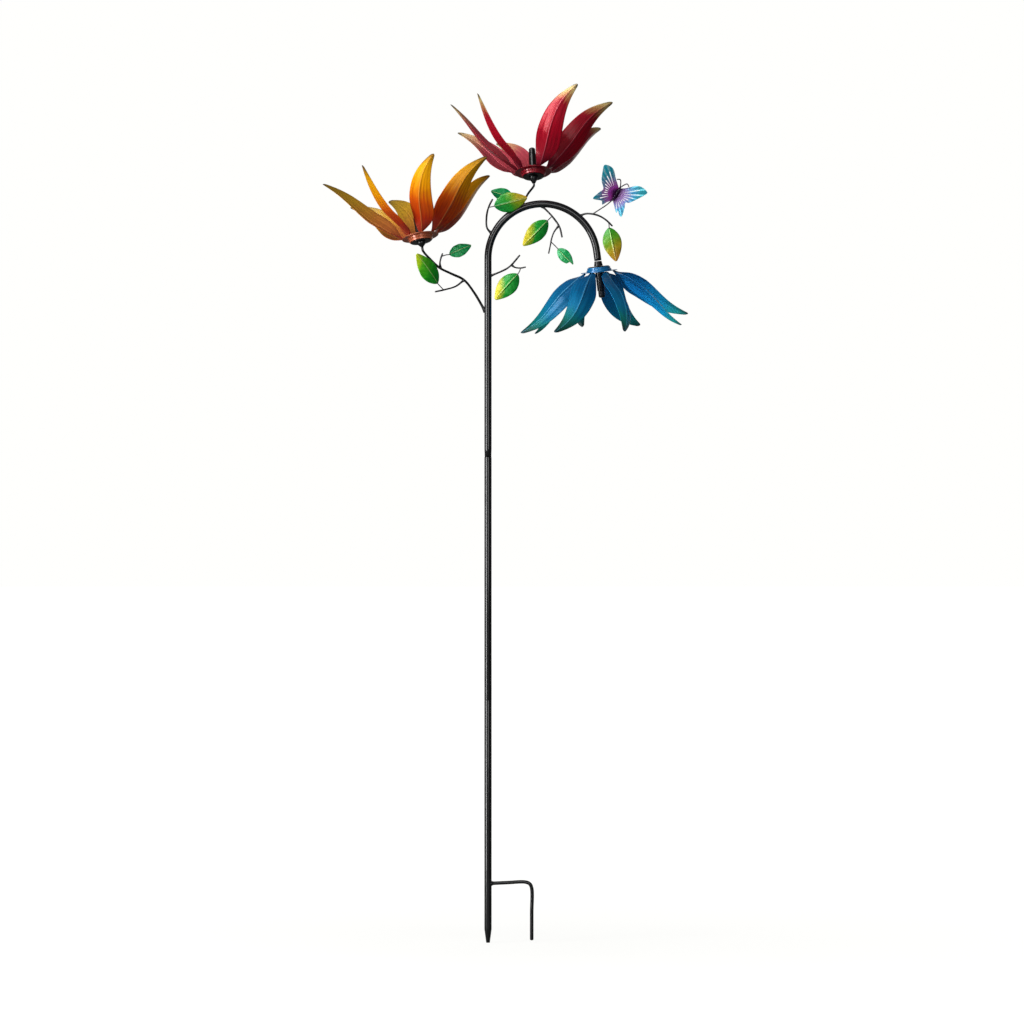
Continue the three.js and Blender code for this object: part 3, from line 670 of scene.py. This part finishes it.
def wing_paint(name, slots, stops, ribs, lines):
    """Pearl paint on a wing: it fades outwards, with pale lines along the slots and ribs."""
    material, tree, shader, place = new_material(
        name, 0.45, metallic=0.1, coat=0.15, coat_roughness=0.2, specular=0.3)
    centre = tuple(c * MM for c in BUTTERFLY_AT)
    offset = vector_maths(tree, "SUBTRACT", place, centre).outputs[0]
    flat = vector_maths(tree, "MULTIPLY", offset, (1.0, 0.0, 1.0)).outputs[0]
    reach = vector_maths(tree, "LENGTH", flat).outputs["Value"]
    blur = spread(tree, noise(tree, place, 90.0, 2.0), *NOISE_RANGE, -0.003, 0.003)
    share = maths(tree, "DIVIDE", maths(tree, "ADD", reach, blur), WING_REACH, clamp=True)
    painted = ramp(tree, share, stops)
    parts = add(tree, "SeparateXYZ", {0: flat})
    angle = maths(tree, "ARCTAN2", parts.outputs["Z"], parts.outputs["X"])
    if slots["to"] > 180:
        angle = maths(tree, "MODULO", maths(tree, "ADD", angle, 4 * math.pi), 2 * math.pi)
    step = math.radians((slots["to"] - slots["from"]) / (len(slots["outer"]) - 1))
    turns = maths(tree, "DIVIDE", maths(tree, "SUBTRACT", angle, math.radians(slots["from"])), step)
    wave = maths(tree, "COSINE", maths(tree, "MULTIPLY", turns, 2 * math.pi))
    outer = spread(tree, share, 0.3, 0.6, 0.0, 1.0)
    pale = maths(tree, "MULTIPLY", spread(tree, wave, 0.2, 1.0, 0.0, 0.7), outer)
    painted = mixed(tree, pale, painted, rgb(lines))
    dark = maths(tree, "MULTIPLY", spread(tree, wave, -0.2, -1.0, 0.0, 0.7), outer)
    painted = mixed(tree, dark, painted, rgb(ribs))
    link(painted, shader, "Base Color")
    waviness(tree, place, shader, 0.00003)
    return material


def body_paint(name):
    """Dark purple paint with paler patches."""
    material, tree, shader, place = new_material(name, 0.3, 0.3, coat=0.5, coat_roughness=0.1)
    clouds = noise(tree, place, 160.0, 3.0)
    painted = ramp(tree, clouds, [(0.3, "120a16"), (0.55, "2a1330"), (0.8, "43204a")])
    link(painted, shader, "Base Color")
    waviness(tree, place, shader, 0.00003)
    return material


# Each petal paint: its colours outside, its colours inside, then the painted highlight on its
# midrib
PETAL_PAINT = {
    "red": candy_paint(
        "red_paint",
        [(0.0, "70122a"), (0.18, "900a20"), (0.5, "a80420"), (0.74, "a41428"), (0.85, "b88050"),
         (0.95, "d0b878"), (1.0, "5c5440")],
        [(0.0, "8c2c38"), (0.3, "a83a44"), (0.65, "b04450"), (0.85, "c08c68"), (0.96, "c4a878"),
         (1.0, "5c5440")],
        "f07888"),
    "orange": candy_paint(
        "orange_paint",
        [(0.0, "b04030"), (0.2, "b02c0c"), (0.42, "cc5008"), (0.62, "e89400"), (0.84, "e8a408"),
         (0.95, "a87818"), (1.0, "4c3c28")],
        [(0.0, "a84c2c"), (0.35, "a86428"), (0.7, "a8801c"), (0.95, "84681c"), (1.0, "4c3c28")],
        "f4ac58"),
    "blue": candy_paint(
        "blue_paint",
        [(0.0, "08446c"), (0.25, "045688"), (0.6, "046c98"), (0.76, "0a7474"), (0.9, "125244"),
         (1.0, "1c3438")],
        [(0.0, "0668b0"), (0.35, "088ce0"), (0.7, "0ca0d8"), (0.9, "1c9c9c"), (1.0, "2c4c4c")],
        "6cc4f0"),
}
# Each dish's paint, then the painted shade in its hollow corners
DISH_PAINT = {
    "red": dish_paint("red_dish_paint", "ac1028", "5a0c18"),
    "orange": dish_paint("orange_dish_paint", "dc7850", "923e24"),
    "blue": dish_paint("blue_dish_paint", "0c78b4", "083c66"),
}
POLE_PAINT = black_paint("pole_paint", 0.4, 1.0, 0.12)
BEARING_PAINT = black_paint("bearing_paint", 0.4, 0.5, 0.2)
STEEL = bare_steel("bare_steel")
LEAF_PAINT = {
    "lime": leaf_paint(
        "leaf_lime", [(0.0, "0c8c24"), (0.4, "1ca01c"), (0.72, "50b01c"), (1.0, "c8d414")]),
    "emerald": leaf_paint("leaf_emerald", [(0.0, "04a058"), (0.5, "049048"), (1.0, "088c50")]),
    "olive": leaf_paint(
        "leaf_olive", [(0.0, "089840"), (0.45, "289828"), (0.7, "90a010"), (1.0, "c09418")]),
    "lemon": leaf_paint(
        "leaf_lemon", [(0.0, "048028"), (0.5, "149c2c"), (0.75, "b4b81c"), (1.0, "e8d434")],
        lean=-0.28),
    "amber": leaf_paint(
        "leaf_amber", [(0.0, "20901c"), (0.35, "589818"), (0.6, "a09010"), (1.0, "b8801c")]),
}
WING_PAINT = {
    "left": wing_paint(
        "wing_left", LEFT_SLOTS,
        [(0.08, "5c2064"), (0.2, "e050d8"), (0.42, "ec84e8"), (0.6, "88c4f8"), (0.78, "40e4ff")],
        ribs="28b4cc", lines="d8fcff"),
    "right": wing_paint(
        "wing_right", RIGHT_SLOTS,
        [(0.08, "3a1440"), (0.2, "744c88"), (0.42, "7058a0"), (0.6, "2474ac"), (0.85, "10808c")],
        ribs="128498", lines="7ce4f4"),
}
BODY_PAINT = body_paint("butterfly_body_paint")


def finish_piece(piece, body, material, slot, *nodes):
    """Paints a piece, lets it ride on its body and hides the nodes that it stands for."""
    piece.data.materials.append(material)
    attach(piece, body)
    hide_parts(*nodes)


# ---- Pole ----


def finish_black(piece, node):
    finish_piece(piece, "stand", POLE_PAINT, "pole_paint", node)


def lower_stake():
    top = LOWER_JOINT_Z
    profile = [(0, FOOT_Z), (STAKE_TIP_R, FOOT_Z), (POLE_R, FOOT_Z + STAKE_TAPER), (POLE_R, top),
               (SPIGOT_R, top), (SPIGOT_R, top + SPIGOT_LENGTH), (0, top + SPIGOT_LENGTH)]
    piece = turned("stake_foot_length", profile, 1.2)
    finish_black(piece, "lower_stake")


def middle_tube():
    foot = LOWER_JOINT_Z + GAP
    socket_end = LOWER_JOINT_Z + SPIGOT_LENGTH + SOCKET_SPARE
    spigot_end = UPPER_JOINT_Z + SPIGOT_LENGTH
    profile = [(SOCKET_R, foot), (POLE_R, foot), (POLE_R, UPPER_JOINT_Z), (SPIGOT_R, UPPER_JOINT_Z),
               (SPIGOT_R, spigot_end), (TUBE_BORE_R, spigot_end), (TUBE_BORE_R, socket_end),
               (SOCKET_R, socket_end)]
    piece = turned("pole_middle_length", profile, 0.5, closed=True)
    finish_black(piece, "middle_tube")


def crook_line():
    """Points along the crook's middle, from its foot round the arch to the end of its tail."""
    foot = UPPER_JOINT_Z + GAP
    arch_z = ARCH_TOP_Z - POLE_R - ARCH_R
    line = [(0, 0, z) for z in np.linspace(foot, arch_z, 24, endpoint=False)]
    for angle in np.linspace(180, 180 - ARCH_SWEEP, 61):
        turn = math.radians(angle)
        line.append((ARCH_R * (1 + math.cos(turn)), 0, arch_z + ARCH_R * math.sin(turn)))
    x, y, z = line[-1]
    tail = math.radians(180 - ARCH_SWEEP)
    for share in (0.25, 0.5, 0.75, 1.0):
        reach = ARCH_TAIL * share
        line.append((x + reach * math.sin(tail), y, z - reach * math.cos(tail)))
    return line


def crook():
    """The bent tube, hollow all the way, with a wider socket at its foot."""
    line = np.array(crook_line())
    _, right, up = ring_frames(line)
    lip = 0.6
    sides = 40
    outer = np.full(len(line), POLE_R)
    outer[0] -= lip
    socket_end = UPPER_JOINT_Z + SPIGOT_LENGTH + SOCKET_SPARE
    inner = np.where(line[:, 2] < socket_end, SOCKET_R, TUBE_BORE_R)
    inner[len(line) // 2:] = TUBE_BORE_R
    angles = np.arange(sides) * 2 * math.pi / sides
    cosines, sines = np.cos(angles)[None, :, None], np.sin(angles)[None, :, None]
    spokes = cosines * right[:, None] + sines * up[:, None]
    shell = line[:, None] + spokes * outer[:, None, None]
    bore = (line[:, None] + spokes * inner[:, None, None])[::-1]
    points = np.concatenate([shell, bore]).reshape(-1, 3)
    faces = grid_faces(2 * len(line), sides, wrap_rows=True, wrap_columns=True)
    piece = merge_close(make_object("crook_tube", points, faces))
    finish_black(piece, "crook")


def fork():
    """The step-in fork: a bent bar, flared where it is welded to the stake, with a rounded foot."""
    shoulder = FORK_TOP_Z - FORK_R
    reach = FORK_X - FORK_R
    start_z = shoulder - FORK_RISE
    dome = 0.75
    path = [
        (POLE_R * 0.6, 0, start_z),
        (reach * 0.45, 0, start_z + FORK_RISE * 0.6),
        (reach - FORK_BEND, 0, shoulder),
        (reach - FORK_BEND * 0.3, 0, shoulder - FORK_BEND * 0.3),
        (reach, 0, shoulder - FORK_BEND),
        (reach, 0, FORK_FOOT_Z * 0.5),
        (reach, 0, FORK_FOOT_Z + dome * FORK_R),
    ]
    line = smooth_path(path, 14)
    weld_length, weld_height = 5, 2
    weld = np.array([max(0.0, 1 - (p[0] - POLE_R) / weld_length) for p in line])
    radii = FORK_R + weld_height * np.clip(weld, 0, 1) ** 2
    piece = rods("step_in_fork", [rod_mesh(line, radii, 24, dome_end=dome)])
    finish_black(piece, "fork")


# ---- Twigs ----

ROOT_WELD_LENGTH = 12


def twig(name):
    """Rods that thicken into a weld at their root and end in a rounded tip."""
    parts = []
    for radius, path in TWIGS[name]:
        line = smooth_path(path, 9)
        count = len(line)
        far = np.arange(count) / (count - 1)
        length = norm(np.subtract(path[-1], path[0]))
        root = np.clip(1 - far * length / ROOT_WELD_LENGTH, 0, 1)
        ends_in_collar = len(path) > 4 and name in ("orange_branch", "red_stem")
        taper = 1.0 if ends_in_collar else 1.0 - 0.12 * far
        knots = 0.05 * np.sin(far * count * 0.35)
        parts.append(rod_mesh(line, radius * (taper + knots + 0.9 * root ** 2), 16, 0.3, 0.8))
    piece = rods(f"{name}_rod", parts)
    finish_black(piece, name)


# ---- Leaves ----


def leaf_surface(base, tip, width, tilt, split):
    """The leaf's middle surface: a folded, pointed oval with pressed veins and a wavy rim."""
    start, end = np.array(base, float), np.array(tip, float)
    length = norm(end - start)
    along = (end - start) / length
    across = np.cross((0, -1, 0), along)
    across /= norm(across)
    lean = Matrix.Rotation(math.radians(tilt), 3, Vector(along))
    across = np.array(lean @ Vector(across))
    front = np.cross(along, across)

    def surface(t, q):
        s = 0.004 + 0.985 * t
        half = width / 2 * (0.05 + 0.95 * np.sin(math.pi * s ** 0.82) ** 0.85)
        side = np.abs(q)
        if split:
            half = half * np.where(q > 0, 1.0, 1 - 0.9 * np.clip((s - 0.74) / 0.06, 0, 1) ** 2)
        middle = np.sin(math.pi * s)
        fold = LEAF_FOLD * half * (0.7 * side + 0.3 * side ** 2)
        arch = LEAF_ARCH * length * middle
        vein = np.sin((s - VEIN_SLANT * side) * VEIN_RATE)
        vein = -0.12 * vein * side * (1 - side) * 4 * middle
        rib = (0.7 * ridge(q, 0, 0.06) - 0.5 * ridge(side, 0.14, 0.06)) * middle ** 0.5
        wave = 0.8 * np.sin(s * 21 + 2 * q) * side ** 3 * middle
        height = arch - fold + vein + rib + wave
        return (start + s[..., None] * length * along + (q * half)[..., None] * across
                + height[..., None] * front)

    return surface


def leaf(name):
    base, tip, width, tilt, wire, paint = LEAVES[name]
    surface = leaf_surface(base, tip, width, tilt, name == SPLIT_LEAF)
    blade = make_object(f"{name}_blade", *sheet_mesh(surface, *LEAF_GRID, LEAF_THICKNESS))
    finish_piece(blade, "stand", LEAF_PAINT[paint], "leaf_paint", name)
    base, tip = np.array(base, float), np.array(tip, float)
    path = smooth_path([*wire, base, base + 0.12 * (tip - base)], 8)
    stalk = rods(f"{name}_wire", [rod_mesh(path, LEAF_WIRE_R, 12, 0.5, 0.8)])
    finish_piece(stalk, "stand", POLE_PAINT, "leaf_paint", name)


# ---- Butterfly ----

LEAN = math.radians(BUTTERFLY_LEAN)
BODY_LINE = np.array((math.sin(LEAN), math.cos(LEAN)))


def on_butterfly(along, right, forward):
    """A point on the butterfly, along the body and across it to the right."""
    x, z = BODY_LINE
    return (BUTTERFLY_AT[0] + along * x + right * z, BUTTERFLY_AT[1] - forward,
            BUTTERFLY_AT[2] + along * z - right * x)


def closed_curve(points):
    """A smooth closed outline through the points."""
    steps = 6
    ring = [np.array((*p, 0.0)) for p in points]
    around = [ring[-1], *ring, ring[0], ring[1]]
    made = []
    for i in range(1, len(around) - 2):
        a, b, c, d = around[i - 1:i + 3]
        for k in range(steps):
            s = k / steps
            made.append(0.5 * (2 * b + (c - a) * s + (2 * a - 5 * b + 4 * c - d) * s ** 2
                               + (3 * b - a - 3 * c + d) * s ** 3)[:2])
    return made


def slot_outline(angle, inner, outer):
    """A slot along a ray from the body's middle, narrow inside and round at its wider end."""
    ray = np.array((math.cos(math.radians(angle)), math.sin(math.radians(angle))))
    side = np.array((-ray[1], ray[0]))
    made = [ray * inner + side * SLOT_NARROW, ray * inner - side * SLOT_NARROW]
    for turn in np.linspace(-90, 90, 7):
        lift = math.radians(turn)
        reach = outer - SLOT_WIDE + SLOT_WIDE * math.cos(lift)
        made.append(ray * reach + side * SLOT_WIDE * math.sin(lift))
    return made


def clip_line(points, inward):
    """An outline cut off at the body's line, keeping the side that inward points to."""
    made = []
    for a, b in zip(points, [*points[1:], points[0]]):
        near, far = a @ inward, b @ inward
        if near >= 0:
            made.append(a)
        if near * far < 0:
            made.append(a + (b - a) * near / (near - far))
    return made


def wing(side, outline, slots):
    """One side's pair of wings: a slotted, soft-edged plate, folded forward along the body."""
    sign = 1 if side == "left" else -1
    inward = np.array((-BODY_LINE[1], BODY_LINE[0])) * sign
    curve = bpy.data.curves.new(f"wing_{side}_outline", "CURVE")
    curve.dimensions = "2D"
    curve.fill_mode = "BOTH"
    curve.extrude = 0.35 * SHEET
    curve.bevel_depth = 0.15 * SHEET
    curve.bevel_resolution = 2
    count = len(slots["outer"])
    rings = [clip_line(closed_curve(outline), inward)]
    for i, outer in enumerate(slots["outer"]):
        angle = slots["from"] + (slots["to"] - slots["from"]) * i / (count - 1)
        rings.append(slot_outline(angle, slots["inner"], outer))
    for ring in rings:
        spline = curve.splines.new("POLY")
        spline.points.add(len(ring) - 1)
        for point, (x, y) in zip(spline.points, ring):
            point.co = (x, y, 0, 1)
        spline.use_cyclic_u = True
    source = new_object(f"wing_{side}_source", curve)
    depsgraph = bpy.context.evaluated_depsgraph_get()
    flat = bpy.data.meshes.new_from_object(source.evaluated_get(depsgraph))
    bpy.data.objects.remove(source)
    co = np.array([v.co for v in flat.vertices])
    distance = co[:, 0] * inward[0] + co[:, 1] * inward[1]
    curl = 0.004 * distance ** 2
    forward = 0.5 * SHEET + co[:, 2] + WING_FOLD[side] * distance - curl
    placed = np.stack([BUTTERFLY_AT[0] + co[:, 0], BUTTERFLY_AT[1] - forward,
                       BUTTERFLY_AT[2] + co[:, 1]], axis=1)
    faces = [tuple(p.vertices) for p in flat.polygons]
    piece = merge_close(make_object(f"butterfly_wing_{side}", placed, faces))
    piece.data.set_sharp_from_angle(angle=math.radians(50))
    finish_piece(piece, "stand", WING_PAINT[side], "wing_paint", "butterfly_wings")


def butterfly_body():
    """A ringed body with a round head, two curled feelers and the wire that holds it."""
    half = BODY_LENGTH / 2
    steps = 60
    shoulder_z, head_z = 5, 12
    profile = [(0, -half)]
    for k in range(1, steps):
        z = -half + BODY_LENGTH * k / steps
        if z < shoulder_z:
            radius = BODY_R * (0.35 + 0.65 * ((z + half) / (half + shoulder_z)) ** 0.7)
            radius += 0.16 * math.cos(z * 2.4)
        elif z < head_z:
            radius = BODY_R * (1.0 - 0.25 * ((z - 8.5) / 3.5) ** 2)
        else:
            radius = BODY_R * 0.8 * math.sqrt(max(0.02, 1 - ((z - 15.5) / 3.5) ** 2))
        profile.append((radius, z))
    profile.append((0, half))
    matrix = Matrix.Translation(Vector(on_butterfly(0, 0, BODY_FORWARD)) * MM)
    matrix = matrix @ Matrix.Rotation(LEAN, 4, "Y")
    trunk = turned("butterfly_trunk", profile, matrix=matrix, sides=32)
    finish_piece(trunk, "stand", BODY_PAINT, "butterfly_body_paint", "butterfly_body")
    parts = []
    for side in (-1, 1):
        path = [on_butterfly(half + past, side * right, BODY_FORWARD + forward)
                for past, right, forward in FEELER]
        parts.append(rod_mesh(smooth_path(path, 10), FEELER_R, 12, 0.5, 1.0))
    feelers = rods("butterfly_feelers", parts)
    finish_piece(feelers, "stand", BODY_PAINT, "butterfly_body_paint", "butterfly_body")
    path = smooth_path([*BUTTERFLY_WIRE, on_butterfly(3 - half, 0, BODY_FORWARD)], 10)
    wire = rods("butterfly_wire", [rod_mesh(path, BUTTERFLY_WIRE_R, 12, 0.5, 0.8)])
    finish_piece(wire, "stand", POLE_PAINT, "butterfly_body_paint", "butterfly_body")


# ---- Flowers ----


def petal_width(t):
    """Half the width of a petal along its length, as a share of its greatest half width."""
    rise = np.sin(math.pi / 2 * np.minimum(t / PETAL_WIDEST, 1))
    fall = np.maximum((t - PETAL_WIDEST) / (1 - PETAL_WIDEST), 0) ** 1.6
    widening = PETAL_ROOT_WIDTH + (1 - PETAL_ROOT_WIDTH) * rise
    narrowing = PETAL_TIP_WIDTH + (1 - PETAL_TIP_WIDTH) * (1 - fall)
    past_round = np.maximum((t - 1 + PETAL_TIP_ROUND) / PETAL_TIP_ROUND, 0)
    return np.minimum(widening, narrowing) * np.sqrt(1 - 0.97 * past_round ** 2)


def petal_surface(lift):
    """The petal's middle surface: a creased midrib, two side ribs and edges that turn back."""
    run = PETAL_TIP_R - PETAL_ROOT_R
    rise = PETAL_TIP_Z + lift
    length = math.hypot(run, rise)
    out_r, out_z = rise / length, -run / length

    def surface(t, q):
        pitch = math.radians(PETAL_PITCH) * np.sin(math.pi / 2 * np.minimum(t / PETAL_PITCH_END, 1))
        tip_share = np.maximum((t - PETAL_FLARE_START) / (1 - PETAL_FLARE_START), 0) ** 1.3
        bow = PETAL_BOW * np.sin(math.pi * t ** 0.7) - PETAL_FLARE * np.sin(math.pi * tip_share)
        sweep = PETAL_SWEEP * np.sin(math.pi * t ** 1.6) + PETAL_ROOT_SET * (1 - t) ** 3
        half = PETAL_HALF_WIDTH * petal_width(t)
        side = np.abs(q)
        cup = PETAL_CUP * half * (0.75 * side + 0.35 * side ** 2 - 0.1 * side ** 4)
        middle = np.sin(math.pi * np.clip(t, 0, 1)) ** 0.6
        rib = 0.8 * ridge(q, 0, 0.06) - 0.4 * ridge(side, 0.15, 0.07)
        rib += 0.4 * ridge(side, 0.52, 0.09)
        normal = bow - cup + rib * middle * half / PETAL_HALF_WIDTH
        lateral = q * half
        radial = np.cos(pitch) * normal - np.sin(pitch) * lateral
        sideways = np.sin(pitch) * normal + np.cos(pitch) * lateral
        return np.stack([PETAL_ROOT_R + t * run + radial * out_r, -(sweep + sideways),
                         t * rise + radial * out_z + 0.5 * SHEET], axis=-1)

    return surface


def petals(name):
    spec = FLOWERS[name]
    for i in range(PETAL_COUNT):
        turn = spec["turn"] + 360 * i / PETAL_COUNT + spec["shift"][i]
        matrix = flower_matrix(name) @ Matrix.Rotation(-math.radians(turn), 4, "Z")
        points, faces, values = sheet_mesh(petal_surface(spec["lift"][i]), *PETAL_GRID, SHEET)
        piece = make_object(f"{name}_petal_{i + 1}_pressed", points, faces, values, matrix)
        node = f"{name}_petal_{i + 1}"
        finish_piece(piece, f"{name}_rotor", PETAL_PAINT[name], f"{name}_paint", node)


def dish(name):
    """The pressed dish, with a rolled rim and a step round its boss."""
    foot = -BOSS_DEPTH
    hole = TUBE_R + GAP
    step = 0.45 * foot
    top = -GAP
    under = top - SHEET
    profile = [(BOSS_R - 1, top), (BOSS_R - 1.6, step), (BOSS_FOOT_R - 0.6, step - 0.8),
               (BOSS_FOOT_R - 1, foot + SHEET), (hole, foot + SHEET), (hole, foot),
               (BOSS_FOOT_R, foot), (BOSS_FOOT_R + 0.4, step - 1.6), (BOSS_R - 0.4, step - 0.6),
               (BOSS_R, under), (DISH_R - 1.5, under), (DISH_R - 0.6, under - 0.5),
               (DISH_R, top - 0.5 * SHEET), (DISH_R - 0.6, top)]
    matrix = flower_matrix(name)
    piece = turned(f"{name}_dish_pressed", profile, 1.1, matrix, 96, closed=True)
    finish_piece(piece, f"{name}_rotor", DISH_PAINT[name], f"{name}_paint", f"{name}_dish")


def bearing_tube(name):
    """The bearing tube with its foot flange and the weld between them."""
    top = -BOSS_DEPTH - GAP
    profile = [(BORE_R, FLANGE_Z), (FLANGE_R, FLANGE_Z), (FLANGE_R, top), (TUBE_R + WELD, top),
               (TUBE_R, top + WELD), (TUBE_R, TUBE_TOP_Z), (BORE_R, TUBE_TOP_Z)]
    matrix = flower_matrix(name)
    piece = turned(f"{name}_bearing_sleeve", profile, 0.7, matrix, 64, closed=True)
    finish_piece(piece, f"{name}_rotor", BEARING_PAINT, "bearing_paint", f"{name}_bearing_tube")


def bearing_cap(name):
    """The cap on the tube's end: a domed end and a hollow for what holds the flower on its pin."""
    hollow_r, hollow_top = NUT_HOLLOW if name == "blue" else BALL_HOLLOW
    foot = TUBE_TOP_Z + GAP
    dome = 2.5
    profile = [(0, hollow_top), (hollow_r, hollow_top), (hollow_r, foot), (CAP_R, foot),
               (CAP_R, CAP_TOP_Z - dome), (CAP_R - dome, CAP_TOP_Z), (0, CAP_TOP_Z)]
    piece = turned(f"{name}_end_cap", profile, 1.4, flower_matrix(name), 64)
    finish_piece(piece, f"{name}_rotor", BEARING_PAINT, "bearing_paint", f"{name}_bearing_cap")


def spindle(name):
    """The fixed pin with its collar, which tapers down to the stem."""
    spec = FLOWERS[name]
    foot = COLLAR_TOP_Z - spec["collar"]
    foot_r = POLE_R if name == "blue" else PIN_R
    edge = 0.6
    profile = [(0, foot), (foot_r, foot), (0.92 * COLLAR_R, COLLAR_TOP_Z - COLLAR_LIP),
               (COLLAR_R, COLLAR_TOP_Z - edge), (COLLAR_R - edge, COLLAR_TOP_Z),
               (PIN_R, COLLAR_TOP_Z), (PIN_R, spec["pin_top"]), (0, spec["pin_top"])]
    piece = turned(f"{name}_pin_and_collar", profile, 0.9, flower_matrix(name), 64)
    finish_piece(piece, "stand", BEARING_PAINT, "bearing_paint", f"{name}_spindle")


# ---- Stage ----

# Soft boxes: where each stands and points to, its width and height, in metres, and its power
SOFT_BOXES = {
    "left_box": ((-2.7, -1.7, 1.2), (0, 0, 1.1), 0.9, 3.6, 122),
    "high_box": ((-1.2, -1.6, 3.2), (0, 0, 1.5), 1.6, 1.6, 52),
    "front_box": ((0.8, -5.0, 1.5), (0, 0, 1.2), 2.0, 2.0, 34),
    "back_box": ((0.8, 4.5, 2.2), (0, 0, 1.2), 5.0, 4.0, 28),
}
FLOOR_SIZE = 60000  # half its width, in millimetres
FLOOR_DROP = 0.5  # below the stake's foot
CAMERA_AT = (0.0532, -12.6, 0.8283)


def floor():
    """A pale floor just under the stake's foot, which throws little light upwards."""
    level = FOOT_Z - FLOOR_DROP
    corners = [(FLOOR_SIZE * x, FLOOR_SIZE * y, level)
               for x, y in ((-1, -1), (1, -1), (1, 1), (-1, 1))]
    made = make_object("floor", corners, [(0, 1, 2, 3)])
    material, tree, shader, place = new_material("floor_paint", 0.9)
    shade = ramp(tree, noise(tree, place, 3.0, 2.0), [(0.3, "565654"), (0.7, "5a5a58")])
    link(shade, shader, "Base Color")
    seen = add(tree, "LightPath").outputs["Is Camera Ray"]
    distance = vector_maths(tree, "LENGTH", place).outputs["Value"]
    glow = maths(tree, "MULTIPLY", seen, spread(tree, distance, 0.3, 2.5, 0.88, 1.0))
    shader.inputs["Emission Color"].default_value = (1.0, 1.0, 0.985, 1.0)
    link(glow, shader, "Emission Strength")
    made.data.materials.append(material)


def soft_box(name, place, target, width, height, power):
    light = bpy.data.lights.new(name, "AREA")
    light.shape = "RECTANGLE"
    light.size = width
    light.size_y = height
    light.energy = power
    lamp = new_object(name, light)
    lamp.location = place
    lamp.rotation_euler = (Vector(target) - Vector(place)).to_track_quat("-Z", "Y").to_euler()


def studio():
    """A white backdrop in a dim room, lit by a tall strip on the left and three soft boxes."""
    world = bpy.data.worlds.new("studio")
    world.use_nodes = True
    tree = world.node_tree
    tree.nodes.clear()
    path = add(tree, "LightPath")
    room = add(tree, "Background", {"Color": (1, 1, 1, 1)})
    strength, kept_from_gloss = 0.25, 0.19
    held_back = maths(tree, "MULTIPLY", path.outputs["Is Glossy Ray"], kept_from_gloss)
    link(maths(tree, "SUBTRACT", strength, held_back), room, "Strength")
    backdrop = add(tree, "Background", {"Color": (1, 1, 0.985, 1), "Strength": 1.0})
    inputs = {0: path.outputs["Is Camera Ray"], 1: room.outputs[0], 2: backdrop.outputs[0]}
    both = add(tree, "MixShader", inputs)
    add(tree, "OutputWorld", {"Surface": both.outputs[0]})
    world.cycles.sampling_method = "NONE"
    bpy.context.scene.world = world
    for name, box in SOFT_BOXES.items():
        soft_box(name, *box)
    bpy.context.scene.view_settings.view_transform = "Standard"


def camera():
    """Level with the pole's middle and far off, as a long lens sees it."""
    data = bpy.data.cameras.new("camera")
    data.sensor_width = 36
    data.lens = 199.7
    data.clip_end = 200
    made = new_object("camera", data)
    made.location = CAMERA_AT
    made.rotation_euler = (math.pi / 2, 0, 0)
    bpy.context.scene.camera = made


# ---- The whole spinner ----

camera()
studio()
floor()
lower_stake()
middle_tube()
crook()
fork()
for rod_name in TWIGS:
    twig(rod_name)
for leaf_name in LEAVES:
    leaf(leaf_name)
wing("left", LEFT_WING, LEFT_SLOTS)
wing("right", RIGHT_WING, RIGHT_SLOTS)
butterfly_body()
for flower_name in FLOWERS:
    for build in (petals, dish, bearing_tube, bearing_cap, spindle):
        build(flower_name)
for inner in ("red_bearing_ball", "orange_bearing_ball", "blue_washer", "blue_nut"):
    inner_mesh = frame["nodes"][inner].data
    inner_mesh.materials.clear()
    inner_mesh.materials.append(STEEL)
